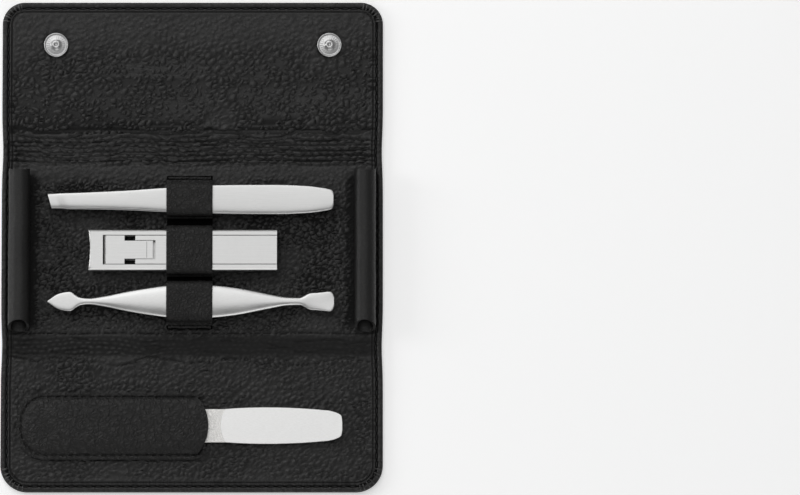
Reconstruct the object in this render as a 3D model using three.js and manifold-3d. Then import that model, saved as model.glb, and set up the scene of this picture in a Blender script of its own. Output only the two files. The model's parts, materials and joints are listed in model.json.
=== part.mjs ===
// A folding leather manicure case, lying open and flat with its five tools in place.
// Millimetres, +Z up. +X is to the right and +Y points to the closing flap.
// The case stands on z = 0. Its lining, where the tools lie, is at z = PANEL.

import * as THREE from 'three';
import { mergeVertices } from 'three/addons/utils/BufferGeometryUtils.js';
import Module from 'manifold-3d';

const wasm = await Module();
wasm.setup();

// Driving dimensions of the case
const CASE_WIDTH = 120;
const FLAP_LENGTH = 42;
const TOP_SPINE = 11.2;
const BACK_LENGTH = 52.4;
const BOTTOM_SPINE = 8.4;
const FRONT_LENGTH = 42;
const FLAP_CORNER = 7;
const FRONT_CORNER = 8.5;
const LEATHER = 0.8;
const BOARD = 0.5;
const LINING = 0.6;
const PANEL = LEATHER + BOARD + LINING;
const RIM_WIDTH = 3.3;
const CREASE_GAP = 0.15;
const FIT_GAP = 0.1;

// Snaps and badge
const SNAP_X = 43.1;
const SNAP_FROM_CREASE = 28.3;
const STUD_RADIUS = 3.85;
const SHANK_RADIUS = 1.1;
const RIVET_RADIUS = 3;
const SOCKET_RADIUS = 4;
const BADGE_FROM_EDGE = 15.7;
const BADGE_SIZE = [8.2, 8.4];
const BADGE_WALL = 0.75;

// Side rolls
const ROLL_X = 54.4;
const ROLL_WIDTH = 6.8;
const ROLL_HEIGHT = 6.2;
const ROLL_WALL = 0.8;
const ROLL_SINK = 0.2;
const ROLL_ENDS = [-27.2, 24.3];

// Strap over the three tools
const STRAP_X = -0.8;
const STRAP_WIDTH = 14.5;
const STRAP_LEATHER = 0.7;
const STRAP_BASE = 0.5;
const STRAP_ENDS = [-26.4, 22.4];

// Tools: heights are above the lining, lengths run along X
const TWEEZER_Y = 14.5;
const TWEEZER_MID = 2.85;
const TWEEZER_ARM = 0.8;
const TIP_OFFSET = 0.6;
const WELD_START = 30;
const CLIPPER_X = -32.9;
const CLIPPER_Y = -1.7;
const CLIPPER_LIFT = 0.75;
const CLIPPER_LENGTH = 59.6;
const NOSE_START = 0.4;
const CLIPPER_WIDTH = 12.6;
const CLIPPER_HEIGHT = 3.6;
const RAIL_WIDTH = 1.6;
const JAW_PLATE = 0.9;
const LINK_PIN_AT = [6.8, 2.0];
const LEVER_PIN_AT = [18.8, 2.9];
const PUSHER_Y = -17.9;
const PUSHER_MID = 2.5;
const FILE_Y = -57.1;
const FILE_START = -42.6;
const FILE_JOINT = 9.1;
const FILE_END = 47;
const FILE_LIFT = 0.25;

// Pocket over the file
const POCKET_LEFT = -55;
const POCKET_MOUTH = 5.4;
const POCKET_HALF = 10.65;
const POCKET_FLANGE = 0.7;
const POCKET_HEIGHT = 2.35;

// Lines where the panels meet, counted along Y
const FAR_EDGE = (FLAP_LENGTH + TOP_SPINE + BACK_LENGTH + BOTTOM_SPINE + FRONT_LENGTH) / 2;
const FLAP_CREASE = FAR_EDGE - FLAP_LENGTH;
const BACK_TOP = FLAP_CREASE - TOP_SPINE;
const BACK_BOTTOM = BACK_TOP - BACK_LENGTH;
const FRONT_CREASE = BACK_BOTTOM - BOTTOM_SPINE;
const NEAR_EDGE = -FAR_EDGE;
const HALF_WIDTH = CASE_WIDTH / 2;
const STUD_Y = FLAP_CREASE + SNAP_FROM_CREASE;
const STUD_Y_CLOSED = BACK_TOP - SNAP_FROM_CREASE;
const SOCKET_Y = FRONT_CREASE - (STUD_Y_CLOSED - BACK_BOTTOM);
const BADGE_Y = FAR_EDGE - BADGE_FROM_EDGE;

const finish = (color, roughness, metalness) =>
  new THREE.MeshStandardMaterial({ color, roughness, metalness });
const materials = {
  leather: finish(0x1c1b1a, 0.62, 0),
  lining: finish(0x201f1e, 0.7, 0),
  board: finish(0x8a7a62, 0.9, 0),
  satinSteel: finish(0xc9cacb, 0.34, 1),
  chrome: finish(0xdedfe0, 0.12, 1),
  enamel: finish(0x0b0b0c, 0.2, 0),
  grit: finish(0xb9bab8, 0.75, 0.4),
};

const model = new THREE.Group();

function add(name, geometry, material, position = [0, 0, 0]) {
  const mesh = new THREE.Mesh(geometry, material);
  mesh.name = name;
  mesh.position.set(...position);
  model.add(mesh);
  return mesh;
}

// Solids from flat outlines: flat() rises along Z, profileY() holds (x, z) points and runs
// along Y, profileX() holds (y, z) points and runs along X.
const flat = (shape, bottom, top) =>
  new THREE.ExtrudeGeometry(shape, { depth: top - bottom, bevelEnabled: false, curveSegments: 8 })
    .translate(0, 0, bottom);

function profileY(shape, from, to) {
  const solid = new THREE.ExtrudeGeometry(shape, {
    depth: to - from, bevelEnabled: false, curveSegments: 10,
  });
  return solid.rotateX(Math.PI / 2).translate(0, to, 0);
}

function profileX(shape, from, to) {
  const solid = new THREE.ExtrudeGeometry(shape, {
    depth: to - from, bevelEnabled: false, curveSegments: 6,
  });
  const cycle = new THREE.Matrix4().makeBasis(
    new THREE.Vector3(0, 1, 0), new THREE.Vector3(0, 0, 1), new THREE.Vector3(1, 0, 0));
  return solid.applyMatrix4(cycle).translate(from, 0, 0);
}

const outline = (points) => new THREE.Shape(points.map(([x, y]) => new THREE.Vector2(x, y)));

function box(x0, x1, y0, y1, z0, z1) {
  return new THREE.BoxGeometry(x1 - x0, y1 - y0, z1 - z0)
    .translate((x0 + x1) / 2, (y0 + y1) / 2, (z0 + z1) / 2);
}

function discHole(x, y, radius) {
  const hole = new THREE.Path();
  hole.absarc(x, y, radius, 0, Math.PI * 2, true);
  return hole;
}

function disc(x, y, radius, z0, z1) {
  const shape = new THREE.Shape();
  shape.absarc(x, y, radius, 0, Math.PI * 2, false);
  return flat(shape, z0, z1);
}

// A turned piece: points are (radius, z) from the bottom of the axis to its top
function turned(points, segments = 32) {
  const profile = points.map(([r, z]) => new THREE.Vector2(r, z));
  return new THREE.LatheGeometry(profile, segments).rotateX(Math.PI / 2);
}

// A closed skin through rings of equal length, each ring a list of Vector3
function loft(rings) {
  const around = rings[0].length;
  const vertices = rings.flat().flatMap((p) => [p.x, p.y, p.z]);
  const faces = [];
  for (let r = 0; r + 1 < rings.length; r++) {
    for (let k = 0; k < around; k++) {
      const a = r * around + k;
      const b = r * around + (k + 1) % around;
      faces.push(a, b, a + around, b, b + around, a + around);
    }
  }
  const last = (rings.length - 1) * around;
  for (let k = 1; k + 1 < around; k++) {
    faces.push(0, k + 1, k, last, last + k, last + k + 1);
  }
  const solid = new THREE.BufferGeometry();
  solid.setAttribute('position', new THREE.Float32BufferAttribute(vertices, 3));
  solid.setIndex(faces);
  return solid;
}

function toManifold(geometry) {
  const bare = geometry.clone();
  bare.deleteAttribute('normal');
  bare.deleteAttribute('uv');
  const merged = mergeVertices(bare, 1e-4);
  return new wasm.Manifold(new wasm.Mesh({
    numProp: 3,
    vertProperties: merged.attributes.position.array,
    triVerts: Uint32Array.from(merged.index.array),
  }));
}

function fromManifold(solid) {
  const mesh = solid.getMesh();
  const geometry = new THREE.BufferGeometry();
  geometry.setAttribute('position', new THREE.BufferAttribute(mesh.vertProperties, 3));
  geometry.setIndex(new THREE.BufferAttribute(mesh.triVerts, 1));
  return geometry;
}

const cut = (body, ...tools) =>
  fromManifold(tools.reduce((rest, tool) => rest.subtract(toManifold(tool)), toManifold(body)));
const join = (...bodies) =>
  fromManifold(bodies.map(toManifold).reduce((whole, next) => whole.add(next)));
const common = (one, other) => fromManifold(toManifold(one).intersect(toManifold(other)));

// Outline of a panel between two lines across the case. The corners at the line
// farther from the middle of the case are rounded where radius is above zero.
function panelOutline(inner, outer, halfWidth, radius) {
  const shape = new THREE.Shape();
  const side = Math.sign(outer - inner);
  shape.moveTo(-halfWidth * side, inner);
  shape.lineTo(halfWidth * side, inner);
  if (radius > 0) {
    const cornerY = outer - radius * side;
    const start = side > 0 ? 0 : Math.PI;
    shape.lineTo(halfWidth * side, cornerY);
    shape.absarc((halfWidth - radius) * side, cornerY, radius, start, start + Math.PI / 2);
    shape.absarc((radius - halfWidth) * side, cornerY, radius, start + Math.PI / 2, start + Math.PI);
  } else {
    shape.lineTo(halfWidth * side, outer);
    shape.lineTo(-halfWidth * side, outer);
  }
  shape.lineTo(-halfWidth * side, inner);
  return shape;
}

// One panel of the case: an outer leather tray whose turned edge stands round the
// stiffening board and the lining. A spine has no board, so its lining fills the tray.
function addPanel(name, { inner, outer, radius, board, leatherCuts, boardHoles, liningHoles }) {
  const side = Math.sign(outer - inner);
  const closedEdge = radius > 0;
  const start = inner + CREASE_GAP * side;
  const end = closedEdge ? outer : outer - CREASE_GAP * side;
  const trayEnd = closedEdge ? outer - RIM_WIDTH * side : outer + side;
  const trayRadius = closedEdge ? radius - RIM_WIDTH : 0;
  const tray = panelOutline(inner - side, trayEnd, HALF_WIDTH - RIM_WIDTH, trayRadius);
  const leather = cut(
    flat(panelOutline(start, end, HALF_WIDTH, radius), 0, PANEL),
    flat(tray, LEATHER, PANEL + 1),
    ...leatherCuts);
  add(`leather_${name}`, leather, materials.leather);

  const fillEnd = closedEdge ? trayEnd - FIT_GAP * side : end;
  const fillRadius = closedEdge ? trayRadius - FIT_GAP : 0;
  const fill = (holes) => {
    const shape = panelOutline(start, fillEnd, HALF_WIDTH - RIM_WIDTH - FIT_GAP, fillRadius);
    shape.holes.push(...holes);
    return shape;
  };
  if (board) {
    add(`board_${name}`, flat(fill(boardHoles), LEATHER, LEATHER + BOARD), materials.board);
  }
  const liningBottom = board ? LEATHER + BOARD : LEATHER;
  add(`lining_${name}`, flat(fill(liningHoles), liningBottom, PANEL), materials.lining);
}

function addCase() {
  const sides = [-SNAP_X, SNAP_X];
  const noCuts = { leatherCuts: [], boardHoles: [], liningHoles: [] };
  const [badgeX, badgeY] = BADGE_SIZE.map((size) => size / 2 + FIT_GAP);
  addPanel('back', { inner: BACK_BOTTOM, outer: BACK_TOP, radius: 0, board: true, ...noCuts });
  addPanel('top_spine', { inner: BACK_TOP, outer: FLAP_CREASE, radius: 0, board: false, ...noCuts });
  addPanel('bottom_spine', {
    inner: BACK_BOTTOM, outer: FRONT_CREASE, radius: 0, board: false, ...noCuts,
  });
  addPanel('flap', {
    inner: FLAP_CREASE,
    outer: FAR_EDGE,
    radius: FLAP_CORNER,
    board: true,
    leatherCuts: [box(-badgeX, badgeX, BADGE_Y - badgeY, BADGE_Y + badgeY, -1, LEATHER + 0.1)],
    boardHoles: sides.map((x) => discHole(x, STUD_Y, RIVET_RADIUS + FIT_GAP)),
    liningHoles: sides.map((x) => discHole(x, STUD_Y, SHANK_RADIUS + FIT_GAP)),
  });
  addPanel('front', {
    inner: FRONT_CREASE,
    outer: NEAR_EDGE,
    radius: FRONT_CORNER,
    board: true,
    leatherCuts: sides.map((x) => disc(x, SOCKET_Y, SOCKET_RADIUS + FIT_GAP, -1, LEATHER + 0.1)),
    boardHoles: sides.map((x) => discHole(x, SOCKET_Y, SOCKET_RADIUS + FIT_GAP)),
    liningHoles: [],
  });
}

// Snap fasteners: a stud riveted through the flap's lining and board, and a socket let
// into the outer face of the front panel where the stud comes down.
function addSnaps() {
  const stud = [
    [0, LEATHER - PANEL], [SHANK_RADIUS, LEATHER - PANEL], [SHANK_RADIUS, 0],
    [STUD_RADIUS, 0], [STUD_RADIUS, 0.45], [3.6, 0.6], [3.2, 0.6], [3, 0.35],
    [1.75, 0.35], [1.5, 0.6], [1.5, 1.45], [1.35, 1.6], [0.8, 1.6], [0.6, 1.4], [0, 1.4],
  ];
  const rivet = [
    [SHANK_RADIUS + FIT_GAP, 0], [RIVET_RADIUS, 0], [RIVET_RADIUS, BOARD],
    [SHANK_RADIUS + FIT_GAP, BOARD], [SHANK_RADIUS + FIT_GAP, 0],
  ];
  const socket = [
    [0, 1.1], [2.2, 1.1], [2.2, 0.35], [2.5, 0.05], [3.7, 0.05],
    [SOCKET_RADIUS, 0.3], [SOCKET_RADIUS, LEATHER + BOARD], [0, LEATHER + BOARD],
  ];
  for (const [side, x] of [['left', -SNAP_X], ['right', SNAP_X]]) {
    add(`snap_stud_${side}`, turned(stud), materials.chrome, [x, STUD_Y, PANEL]);
    add(`snap_rivet_${side}`, turned(rivet), materials.satinSteel, [x, STUD_Y, LEATHER]);
    add(`snap_socket_${side}`, turned(socket), materials.chrome, [x, SOCKET_Y, 0]);
  }
}

function roundedRectangle(width, height, radius) {
  const x = width / 2 - radius;
  const y = height / 2 - radius;
  const shape = new THREE.Shape();
  shape.absarc(x, y, radius, 0, Math.PI / 2);
  shape.absarc(-x, y, radius, Math.PI / 2, Math.PI);
  shape.absarc(-x, -y, radius, Math.PI, Math.PI * 1.5);
  shape.absarc(x, -y, radius, Math.PI * 1.5, Math.PI * 2);
  return shape;
}

function addBadge() {
  const [width, length] = BADGE_SIZE;
  const window = [width - 2 * BADGE_WALL, length - 2 * BADGE_WALL];
  const frame = roundedRectangle(width, length, 0.7);
  frame.holes.push(new THREE.Path(roundedRectangle(...window, 0.4).getPoints(4).reverse()));
  add('badge_frame', flat(frame, 0, LEATHER), materials.chrome, [0, BADGE_Y, 0]);
  const plate = roundedRectangle(window[0] - 2 * FIT_GAP, window[1] - 2 * FIT_GAP, 0.3);
  add('badge_enamel', flat(plate, 0.1, LEATHER), materials.enamel, [0, BADGE_Y, 0]);
}

// Hollow leather rolls along both short sides. Each is slightly squashed, and its
// sewn underside is flat on the lining.
function addRolls() {
  const outerX = ROLL_WIDTH / 2;
  const outerZ = ROLL_HEIGHT / 2;
  const centre = outerZ - ROLL_SINK;
  const flatAt = Math.asin(centre / outerZ);
  const shape = new THREE.Shape();
  shape.absellipse(0, centre, outerX, outerZ, -flatAt, Math.PI + flatAt, false);
  const bore = new THREE.Path();
  bore.absellipse(0, centre + 0.1, outerX - ROLL_WALL, outerZ - ROLL_WALL, 0, Math.PI * 2, true);
  shape.holes.push(bore);
  for (const [side, x] of [['left', -ROLL_X], ['right', ROLL_X]]) {
    add(`side_roll_${side}`, profileY(shape, ...ROLL_ENDS), materials.leather, [x, 0, PANEL]);
  }
}

// One arch of the strap: two flat feet on the base and a rounded bridge between them
function archOutline(low, high, footLow, footHigh, inside) {
  const thick = STRAP_LEATHER;
  const round = 1.6;
  const top = inside + thick;
  const bottom = STRAP_BASE;
  const shape = new THREE.Shape();
  shape.moveTo(low - footLow, bottom);
  shape.lineTo(low + thick, bottom);
  shape.lineTo(low + thick, inside - round + thick);
  shape.absarc(low + round, inside - round + thick, round - thick, Math.PI, Math.PI / 2, true);
  shape.absarc(high - round, inside - round + thick, round - thick, Math.PI / 2, 0, true);
  shape.lineTo(high - thick, bottom);
  shape.lineTo(high + footHigh, bottom);
  shape.lineTo(high + footHigh, bottom + thick);
  shape.lineTo(high, bottom + thick);
  shape.absarc(high - round, top - round, round, 0, Math.PI / 2, false);
  shape.absarc(low + round, top - round, round, Math.PI / 2, Math.PI, false);
  shape.lineTo(low, bottom + thick);
  shape.lineTo(low - footLow, bottom + thick);
  return shape;
}

function addStrap() {
  const left = STRAP_X - STRAP_WIDTH / 2;
  const right = STRAP_X + STRAP_WIDTH / 2;
  const [baseLow, baseHigh] = STRAP_ENDS;
  add('strap_base',
    box(left - 0.4, right + 0.4, baseLow, baseHigh, PANEL, PANEL + STRAP_BASE), materials.leather);
  const arches = [
    ['tweezer', 9.2, 19.9, 1.5, 2.5, 5.05],
    ['clipper', -9.4, 6.0, 1.0, 1.6, 4.65],
    ['pusher', -24.3, -11.5, 2.1, 1.0, 4.2],
  ];
  for (const [tool, low, high, footLow, footHigh, inside] of arches) {
    const arch = archOutline(low, high, footLow, footHigh, inside);
    add(`strap_${tool}_loop`, profileX(arch, left, right), materials.leather, [0, 0, PANEL]);
  }
}

// The pocket: a stitched flange on three sides and a raised middle over the file,
// open underneath to the lining and at its convex mouth on the right
function addPocket() {
  const tip = POCKET_HALF - 1.4;
  const shape = new THREE.Shape();
  shape.moveTo(1.6, POCKET_HALF);
  shape.lineTo(POCKET_LEFT + 9, POCKET_HALF);
  shape.absellipse(POCKET_LEFT + 9, 0, 9, POCKET_HALF, Math.PI / 2, Math.PI * 1.5, false);
  shape.lineTo(1.6, -POCKET_HALF);
  shape.lineTo(3.6, -tip);
  shape.quadraticCurveTo(POCKET_MOUTH + 1.8, 0, 3.6, tip);
  shape.lineTo(1.6, POCKET_HALF);
  const flange = flat(shape, 0, POCKET_FLANGE);
  const middle = outline([
    [POCKET_LEFT + 7, -5], [POCKET_LEFT + 10, -7.8], [20, -7.8],
    [20, 7.8], [POCKET_LEFT + 10, 7.8], [POCKET_LEFT + 7, 5],
  ]);
  const raised = common(flat(middle, 0, POCKET_HEIGHT), flat(shape, 0, POCKET_HEIGHT));
  const hollow = box(FILE_START - 0.6, 20, -6.1, 6.1, -1, POCKET_HEIGHT - 0.7);
  const pocket = cut(join(flange, raised), hollow);
  add('file_pocket', pocket, materials.leather, [0, FILE_Y, PANEL]);
}

// A smooth value along a tool, through hand-set (place, value) pairs
function along(pairs) {
  const curve = new THREE.SplineCurve(pairs.map(([x, v]) => new THREE.Vector2(x, v)));
  const samples = curve.getPoints(pairs.length * 12);
  return (x) => {
    const next = samples.findIndex((p) => p.x >= x);
    if (next <= 0) return samples[next === 0 ? 0 : samples.length - 1].y;
    const [a, b] = [samples[next - 1], samples[next]];
    return a.y + (b.y - a.y) * (x - a.x) / (b.x - a.x);
  };
}

// Ring with eight corners: a plate section with its edges broken
function plateRing(x, halfWidth, bottom, top, slant) {
  const edge = Math.min(0.25, (top - bottom) / 3);
  const corners = [
    [halfWidth, bottom + edge], [halfWidth, top - edge], [halfWidth - edge, top],
    [edge - halfWidth, top], [-halfWidth, top - edge], [-halfWidth, bottom + edge],
    [edge - halfWidth, bottom], [halfWidth - edge, bottom],
  ];
  return corners.map(([y, z]) => new THREE.Vector3(x - slant * y, y, z));
}

function addTweezers() {
  const places = [-44.8, -42, -39, -33, -26, -18, -10, -2, 6, 14, 22, 30, 36, 40, 42.8, 43.9, 44.4];
  const halfWidth = along([
    [-46, 2.2], [-36.5, 2.35], [-28.4, 2.6], [-20.4, 2.9], [-12.4, 3.4], [-8, 3.65], [6.4, 4.31],
    [16, 4.5], [26, 4.55], [36, 4.2], [41, 3.6], [43.5, 3.1], [44.5, 2.7],
  ]);
  const spread = along([
    [-46, 1.82], [-34, 1.9], [-22, 1.88], [-8, 1.68], [6, 1.45], [18, 1.2], [30, 1.02], [45, 1],
  ]);
  const slantAt = (x) => 0.29 * Math.max(0, (-36 - x) / 9);
  const centreLine = (x) => -TIP_OFFSET * Math.max(0, (5 - x) / 50);
  const arm = (side) => places.map((x) => {
    const outer = spread(x);
    const [low, high] = [outer - TWEEZER_ARM, outer];
    const [bottom, top] = side > 0 ? [low, high] : [-high, -low];
    const ring = plateRing(x, halfWidth(x), bottom, top, slantAt(x));
    return ring.map((point) => point.setY(point.y + centreLine(x)));
  });
  const place = [0, TWEEZER_Y, PANEL + TWEEZER_MID];
  add('tweezer_lower_arm', loft(arm(-1)), materials.satinSteel, place);
  add('tweezer_upper_arm', loft(arm(1)), materials.satinSteel, place);
  const inside = 0.97 - TWEEZER_ARM;
  const weld = [WELD_START, 36, 40, 42.8].map((x) =>
    plateRing(x, halfWidth(x) - 0.3, -inside, inside, 0));
  add('tweezer_weld', loft(weld), materials.satinSteel, place);
}

// The clipper. u runs back from the cutting edges, heights from its underside.
function addClipper() {
  const half = CLIPPER_WIDTH / 2;
  const slotHalf = half - RAIL_WIDTH;
  const plateHalf = slotHalf - 0.2;
  const top = CLIPPER_HEIGHT;
  const place = [CLIPPER_X, CLIPPER_Y, PANEL + CLIPPER_LIFT];
  const [linkU, linkZ] = LINK_PIN_AT;
  const [leverU, leverZ] = LEVER_PIN_AT;
  const noseDip = 0.5;
  const railBottom = 2.2;
  const noseEnd = 4.9;
  const shoulderU = 11.7;
  const windowEnd = 15.1;
  const tongueHalf = 2.85;
  const side = (points, y0, y1) => profileY(outline(points), y0, y1);
  const roundY = (u, z, radius, y0, y1) => {
    const shape = new THREE.Shape();
    shape.absarc(u, z, radius, 0, Math.PI * 2, false);
    return profileY(shape, y0, y1);
  };

  const body = new THREE.Shape();
  body.moveTo(NOSE_START, -half);
  body.lineTo(CLIPPER_LENGTH, -half);
  body.lineTo(CLIPPER_LENGTH, half);
  body.lineTo(NOSE_START, half);
  body.quadraticCurveTo(NOSE_START + 2 * noseDip, 0, NOSE_START, -half);
  const plan = flat(body, -1, top + 1);

  const lowerSide = side([
    [-1, 0.65], [1.8, 0], [CLIPPER_LENGTH + 1, 0], [CLIPPER_LENGTH + 1, JAW_PLATE],
    [2.8, JAW_PLATE], [1.3, 1.15], [-1, 1.3],
  ], -half - 1, half + 1);
  const ears = [-1, 1].map((s) => {
    const [y0, y1] = [s * 3.3, s * 4.2].sort((a, b) => a - b);
    return join(
      roundY(linkU, linkZ, 0.65, y0, y1),
      box(linkU - 0.6, linkU + 0.6, y0, y1, JAW_PLATE / 2, linkZ));
  });
  const frontWindow = box(noseEnd, linkU - 0.7, -slotHalf, slotHalf, -1, JAW_PLATE + 1);
  const sideWindows = [-1, 1].map((s) => {
    const [y0, y1] = [s * (tongueHalf + 0.1), s * slotHalf].sort((a, b) => a - b);
    return box(shoulderU, windowEnd, y0, y1, -1, JAW_PLATE + 1);
  });
  const earBores = roundY(linkU, linkZ, 0.42, -half, half);
  add('clipper_lower_jaw',
    cut(join(cut(common(plan, lowerSide), frontWindow, ...sideWindows), ...ears), earBores),
    materials.satinSteel, place);
  add('clipper_link_pin', roundY(linkU, linkZ, 0.4, -4.25, 4.25), materials.satinSteel, place);
  add('clipper_rear_block',
    box(51, CLIPPER_LENGTH, -half, half, JAW_PLATE, railBottom - 0.1), materials.satinSteel, place);

  const upperSide = side([
    [-1, 2.3], [1.8, railBottom], [CLIPPER_LENGTH + 1, railBottom], [CLIPPER_LENGTH + 1, top],
    [1.1, top], [-1, 2.8],
  ], -half - 1, half + 1);
  const crown = profileX(outline([
    [-half - 1, railBottom - 1], [half + 1, railBottom - 1], [half, railBottom],
    [half, top - 0.45], [half - 0.5, top + 0.05], [0.5 - half, top + 0.05],
    [-half, top - 0.45], [-half, railBottom],
  ]), -1, CLIPPER_LENGTH + 1);
  const slot = box(noseEnd, CLIPPER_LENGTH + 1, -slotHalf, slotHalf, 0, top + 1);
  add('clipper_upper_jaw',
    cut(common(common(plan, upperSide), crown), slot), materials.satinSteel, place);

  const linkTop = [[noseEnd + 0.4, 2.7], [noseEnd + 0.4, 3], [noseEnd + 1, top]];
  const widePart = side([...linkTop.slice().reverse(), [shoulderU, 2.7], [shoulderU, top]].reverse(),
    -plateHalf, plateHalf);
  const tongue = side([[shoulderU - 1, 2.7], [20.6, 2.7], [20.6, top], [shoulderU - 1, top]],
    -tongueHalf, tongueHalf);
  const lugs = [-1, 1].map((s) => {
    const [y0, y1] = [s * 2.1, s * 3.15].sort((a, b) => a - b);
    return join(
      roundY(linkU, linkZ, 0.85, y0, y1),
      box(linkU - 0.85, linkU + 0.85, y0, y1, linkZ, 3));
  });
  const curl = roundY(leverU, leverZ, 0.7, -tongueHalf, tongueHalf);
  const linkBores = roundY(linkU, linkZ, 0.46, -half, half);
  const curlBore = roundY(leverU, leverZ, 0.46, -half, half);
  add('clipper_link',
    cut(join(widePart, tongue, ...lugs, curl), linkBores, curlBore),
    materials.satinSteel, place);
  add('clipper_lever_pin', roundY(leverU, leverZ, 0.4, -4.3, 4.3), materials.satinSteel, place);

  const leverShape = outline([
    [windowEnd, -plateHalf], [CLIPPER_LENGTH, -plateHalf], [CLIPPER_LENGTH, plateHalf],
    [windowEnd, plateHalf], [windowEnd, tongueHalf + 0.15], [21.4, tongueHalf + 0.15],
    [21.4, -tongueHalf - 0.15], [windowEnd, -tongueHalf - 0.15],
  ]);
  const leverBore = roundY(leverU, leverZ, 0.42, -half, half);
  add('clipper_lever', cut(flat(leverShape, 2.4, top), leverBore), materials.satinSteel, place);
}

// Cuticle pusher and nail cleaner: one forged piece, a thick spindle with a leaf-shaped
// cleaner at the left and a curved spade at the right
function addPusher() {
  const places = [
    -45.3, -44.5, -43.7, -42.5, -40.5, -38.3, -37.5, -36.5, -34.9, -32.5, -30.8, -28.4, -24.4,
    -18, -12.4, -8, 0, 6.4, 13.8, 21.9, 25.9, 29.9, 33.9, 35.2, 37.1, 39.9, 43.4, 44.2, 44.6,
  ];
  const halfWidth = along([
    [-45.4, 0.12], [-43.7, 1.35], [-42.5, 2.15], [-40.5, 2.8], [-38.3, 3.05], [-37.5, 2.75],
    [-36.5, 2], [-34.9, 1.2], [-32.5, 0.97], [-28.4, 1.5], [-20.4, 3.15], [-12.4, 4.46],
    [-6, 5.2], [0, 5.35], [6.4, 5.15], [13.8, 4.35], [21.9, 2.8], [25.9, 2], [29.9, 1.32],
    [33.9, 1.16], [35.2, 1.7], [37.1, 2.6], [39.9, 2.8], [43.4, 3.1], [44.2, 2.6], [44.6, 1.7],
  ]);
  const halfThick = along([
    [-45.4, 0.15], [-42, 0.35], [-38, 0.45], [-34.5, 0.7], [-28, 0.95], [-15, 1.25],
    [0, 1.4], [15, 1.25], [28, 0.95], [34, 0.75], [38, 0.5], [44.6, 0.3],
  ]);
  const around = 10;
  const rings = places.map((x) => Array.from({ length: around }, (_, k) => {
    const turn = ((k + 0.5) / around) * 2 * Math.PI;
    return new THREE.Vector3(x, halfWidth(x) * Math.cos(turn), halfThick(x) * Math.sin(turn));
  }));
  add('cuticle_pusher', loft(rings), materials.satinSteel, [0, PUSHER_Y, PANEL + PUSHER_MID]);
}

// The nail file: a grit-coated blade in the pocket and a satin handle, meeting in an arc
function addFile() {
  const bladeHalf = 5.25;
  const handleHalf = 5.75;
  const jointBow = 1.5;
  const blade = new THREE.Shape();
  blade.moveTo(FILE_JOINT + jointBow, -bladeHalf);
  blade.quadraticCurveTo(FILE_JOINT - jointBow, 0, FILE_JOINT + jointBow, bladeHalf);
  blade.lineTo(FILE_START + 12, bladeHalf);
  blade.quadraticCurveTo(FILE_START + 3, bladeHalf - 0.4, FILE_START, 0);
  blade.quadraticCurveTo(FILE_START + 3, 0.4 - bladeHalf, FILE_START + 12, -bladeHalf);
  blade.lineTo(FILE_JOINT + jointBow, -bladeHalf);
  const handle = new THREE.Shape();
  handle.moveTo(FILE_JOINT + jointBow, bladeHalf);
  handle.quadraticCurveTo(FILE_JOINT - jointBow, 0, FILE_JOINT + jointBow, -bladeHalf);
  handle.quadraticCurveTo(26, -handleHalf - 0.7, FILE_END - 4, -bladeHalf + 0.5);
  handle.quadraticCurveTo(FILE_END - 0.6, -bladeHalf + 1.2, FILE_END, -3);
  handle.quadraticCurveTo(FILE_END + 0.5, 0, FILE_END, 3);
  handle.quadraticCurveTo(FILE_END - 0.6, bladeHalf - 1.2, FILE_END - 4, bladeHalf - 0.5);
  handle.quadraticCurveTo(26, handleHalf + 0.7, FILE_JOINT + jointBow, bladeHalf);
  const place = [0, FILE_Y, PANEL];
  add('file_blade', flat(blade, FILE_LIFT, FILE_LIFT + 0.9), materials.grit, place);
  add('file_handle', flat(handle, FILE_LIFT - 0.1, FILE_LIFT + 1.2), materials.satinSteel, place);
}

addCase();
addSnaps();
addBadge();
addRolls();
addStrap();
addPocket();
addTweezers();
addClipper();
addPusher();
addFile();

export default model;
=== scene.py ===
# %% [markdown]
# # A leather manicure case, open on a pale table
#
# The case is one long strip of black leather with four creases, lined with the same leather.
# Three stiff panels carry the tools: tweezers, a flat nail clipper and a cuticle tool under a
# strap on the back panel, and a nail file in a pocket on the front panel. The solids that the
# joints move are loaded first. Every piece made here takes its place from them.

import json
import math

import bmesh
import bpy
from mathutils import Matrix, Vector, noise


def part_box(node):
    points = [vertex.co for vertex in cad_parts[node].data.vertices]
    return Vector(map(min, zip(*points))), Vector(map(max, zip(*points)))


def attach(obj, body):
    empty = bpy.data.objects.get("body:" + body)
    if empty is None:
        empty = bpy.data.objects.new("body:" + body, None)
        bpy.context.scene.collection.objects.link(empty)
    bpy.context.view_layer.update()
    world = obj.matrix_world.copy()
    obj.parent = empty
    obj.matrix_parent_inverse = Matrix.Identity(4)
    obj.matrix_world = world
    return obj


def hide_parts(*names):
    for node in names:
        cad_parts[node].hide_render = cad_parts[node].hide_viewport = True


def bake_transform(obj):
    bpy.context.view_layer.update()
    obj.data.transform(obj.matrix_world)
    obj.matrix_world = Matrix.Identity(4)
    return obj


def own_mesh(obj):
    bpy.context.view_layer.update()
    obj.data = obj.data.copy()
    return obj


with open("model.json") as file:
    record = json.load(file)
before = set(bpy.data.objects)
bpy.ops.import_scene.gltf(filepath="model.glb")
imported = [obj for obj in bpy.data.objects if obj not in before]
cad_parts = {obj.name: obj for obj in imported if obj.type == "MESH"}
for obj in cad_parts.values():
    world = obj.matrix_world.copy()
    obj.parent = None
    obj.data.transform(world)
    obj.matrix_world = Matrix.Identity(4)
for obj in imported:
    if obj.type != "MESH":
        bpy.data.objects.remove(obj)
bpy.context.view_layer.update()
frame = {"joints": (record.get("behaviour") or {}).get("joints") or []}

MM = 0.001
IMAGE_WIDTH = 800
CASE_MIDDLE = 192.2
PIXELS_PER_MM = 3.18
VIEW_ELEVATION = math.radians(81)
LENS = 500
SENSOR = 36


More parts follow.
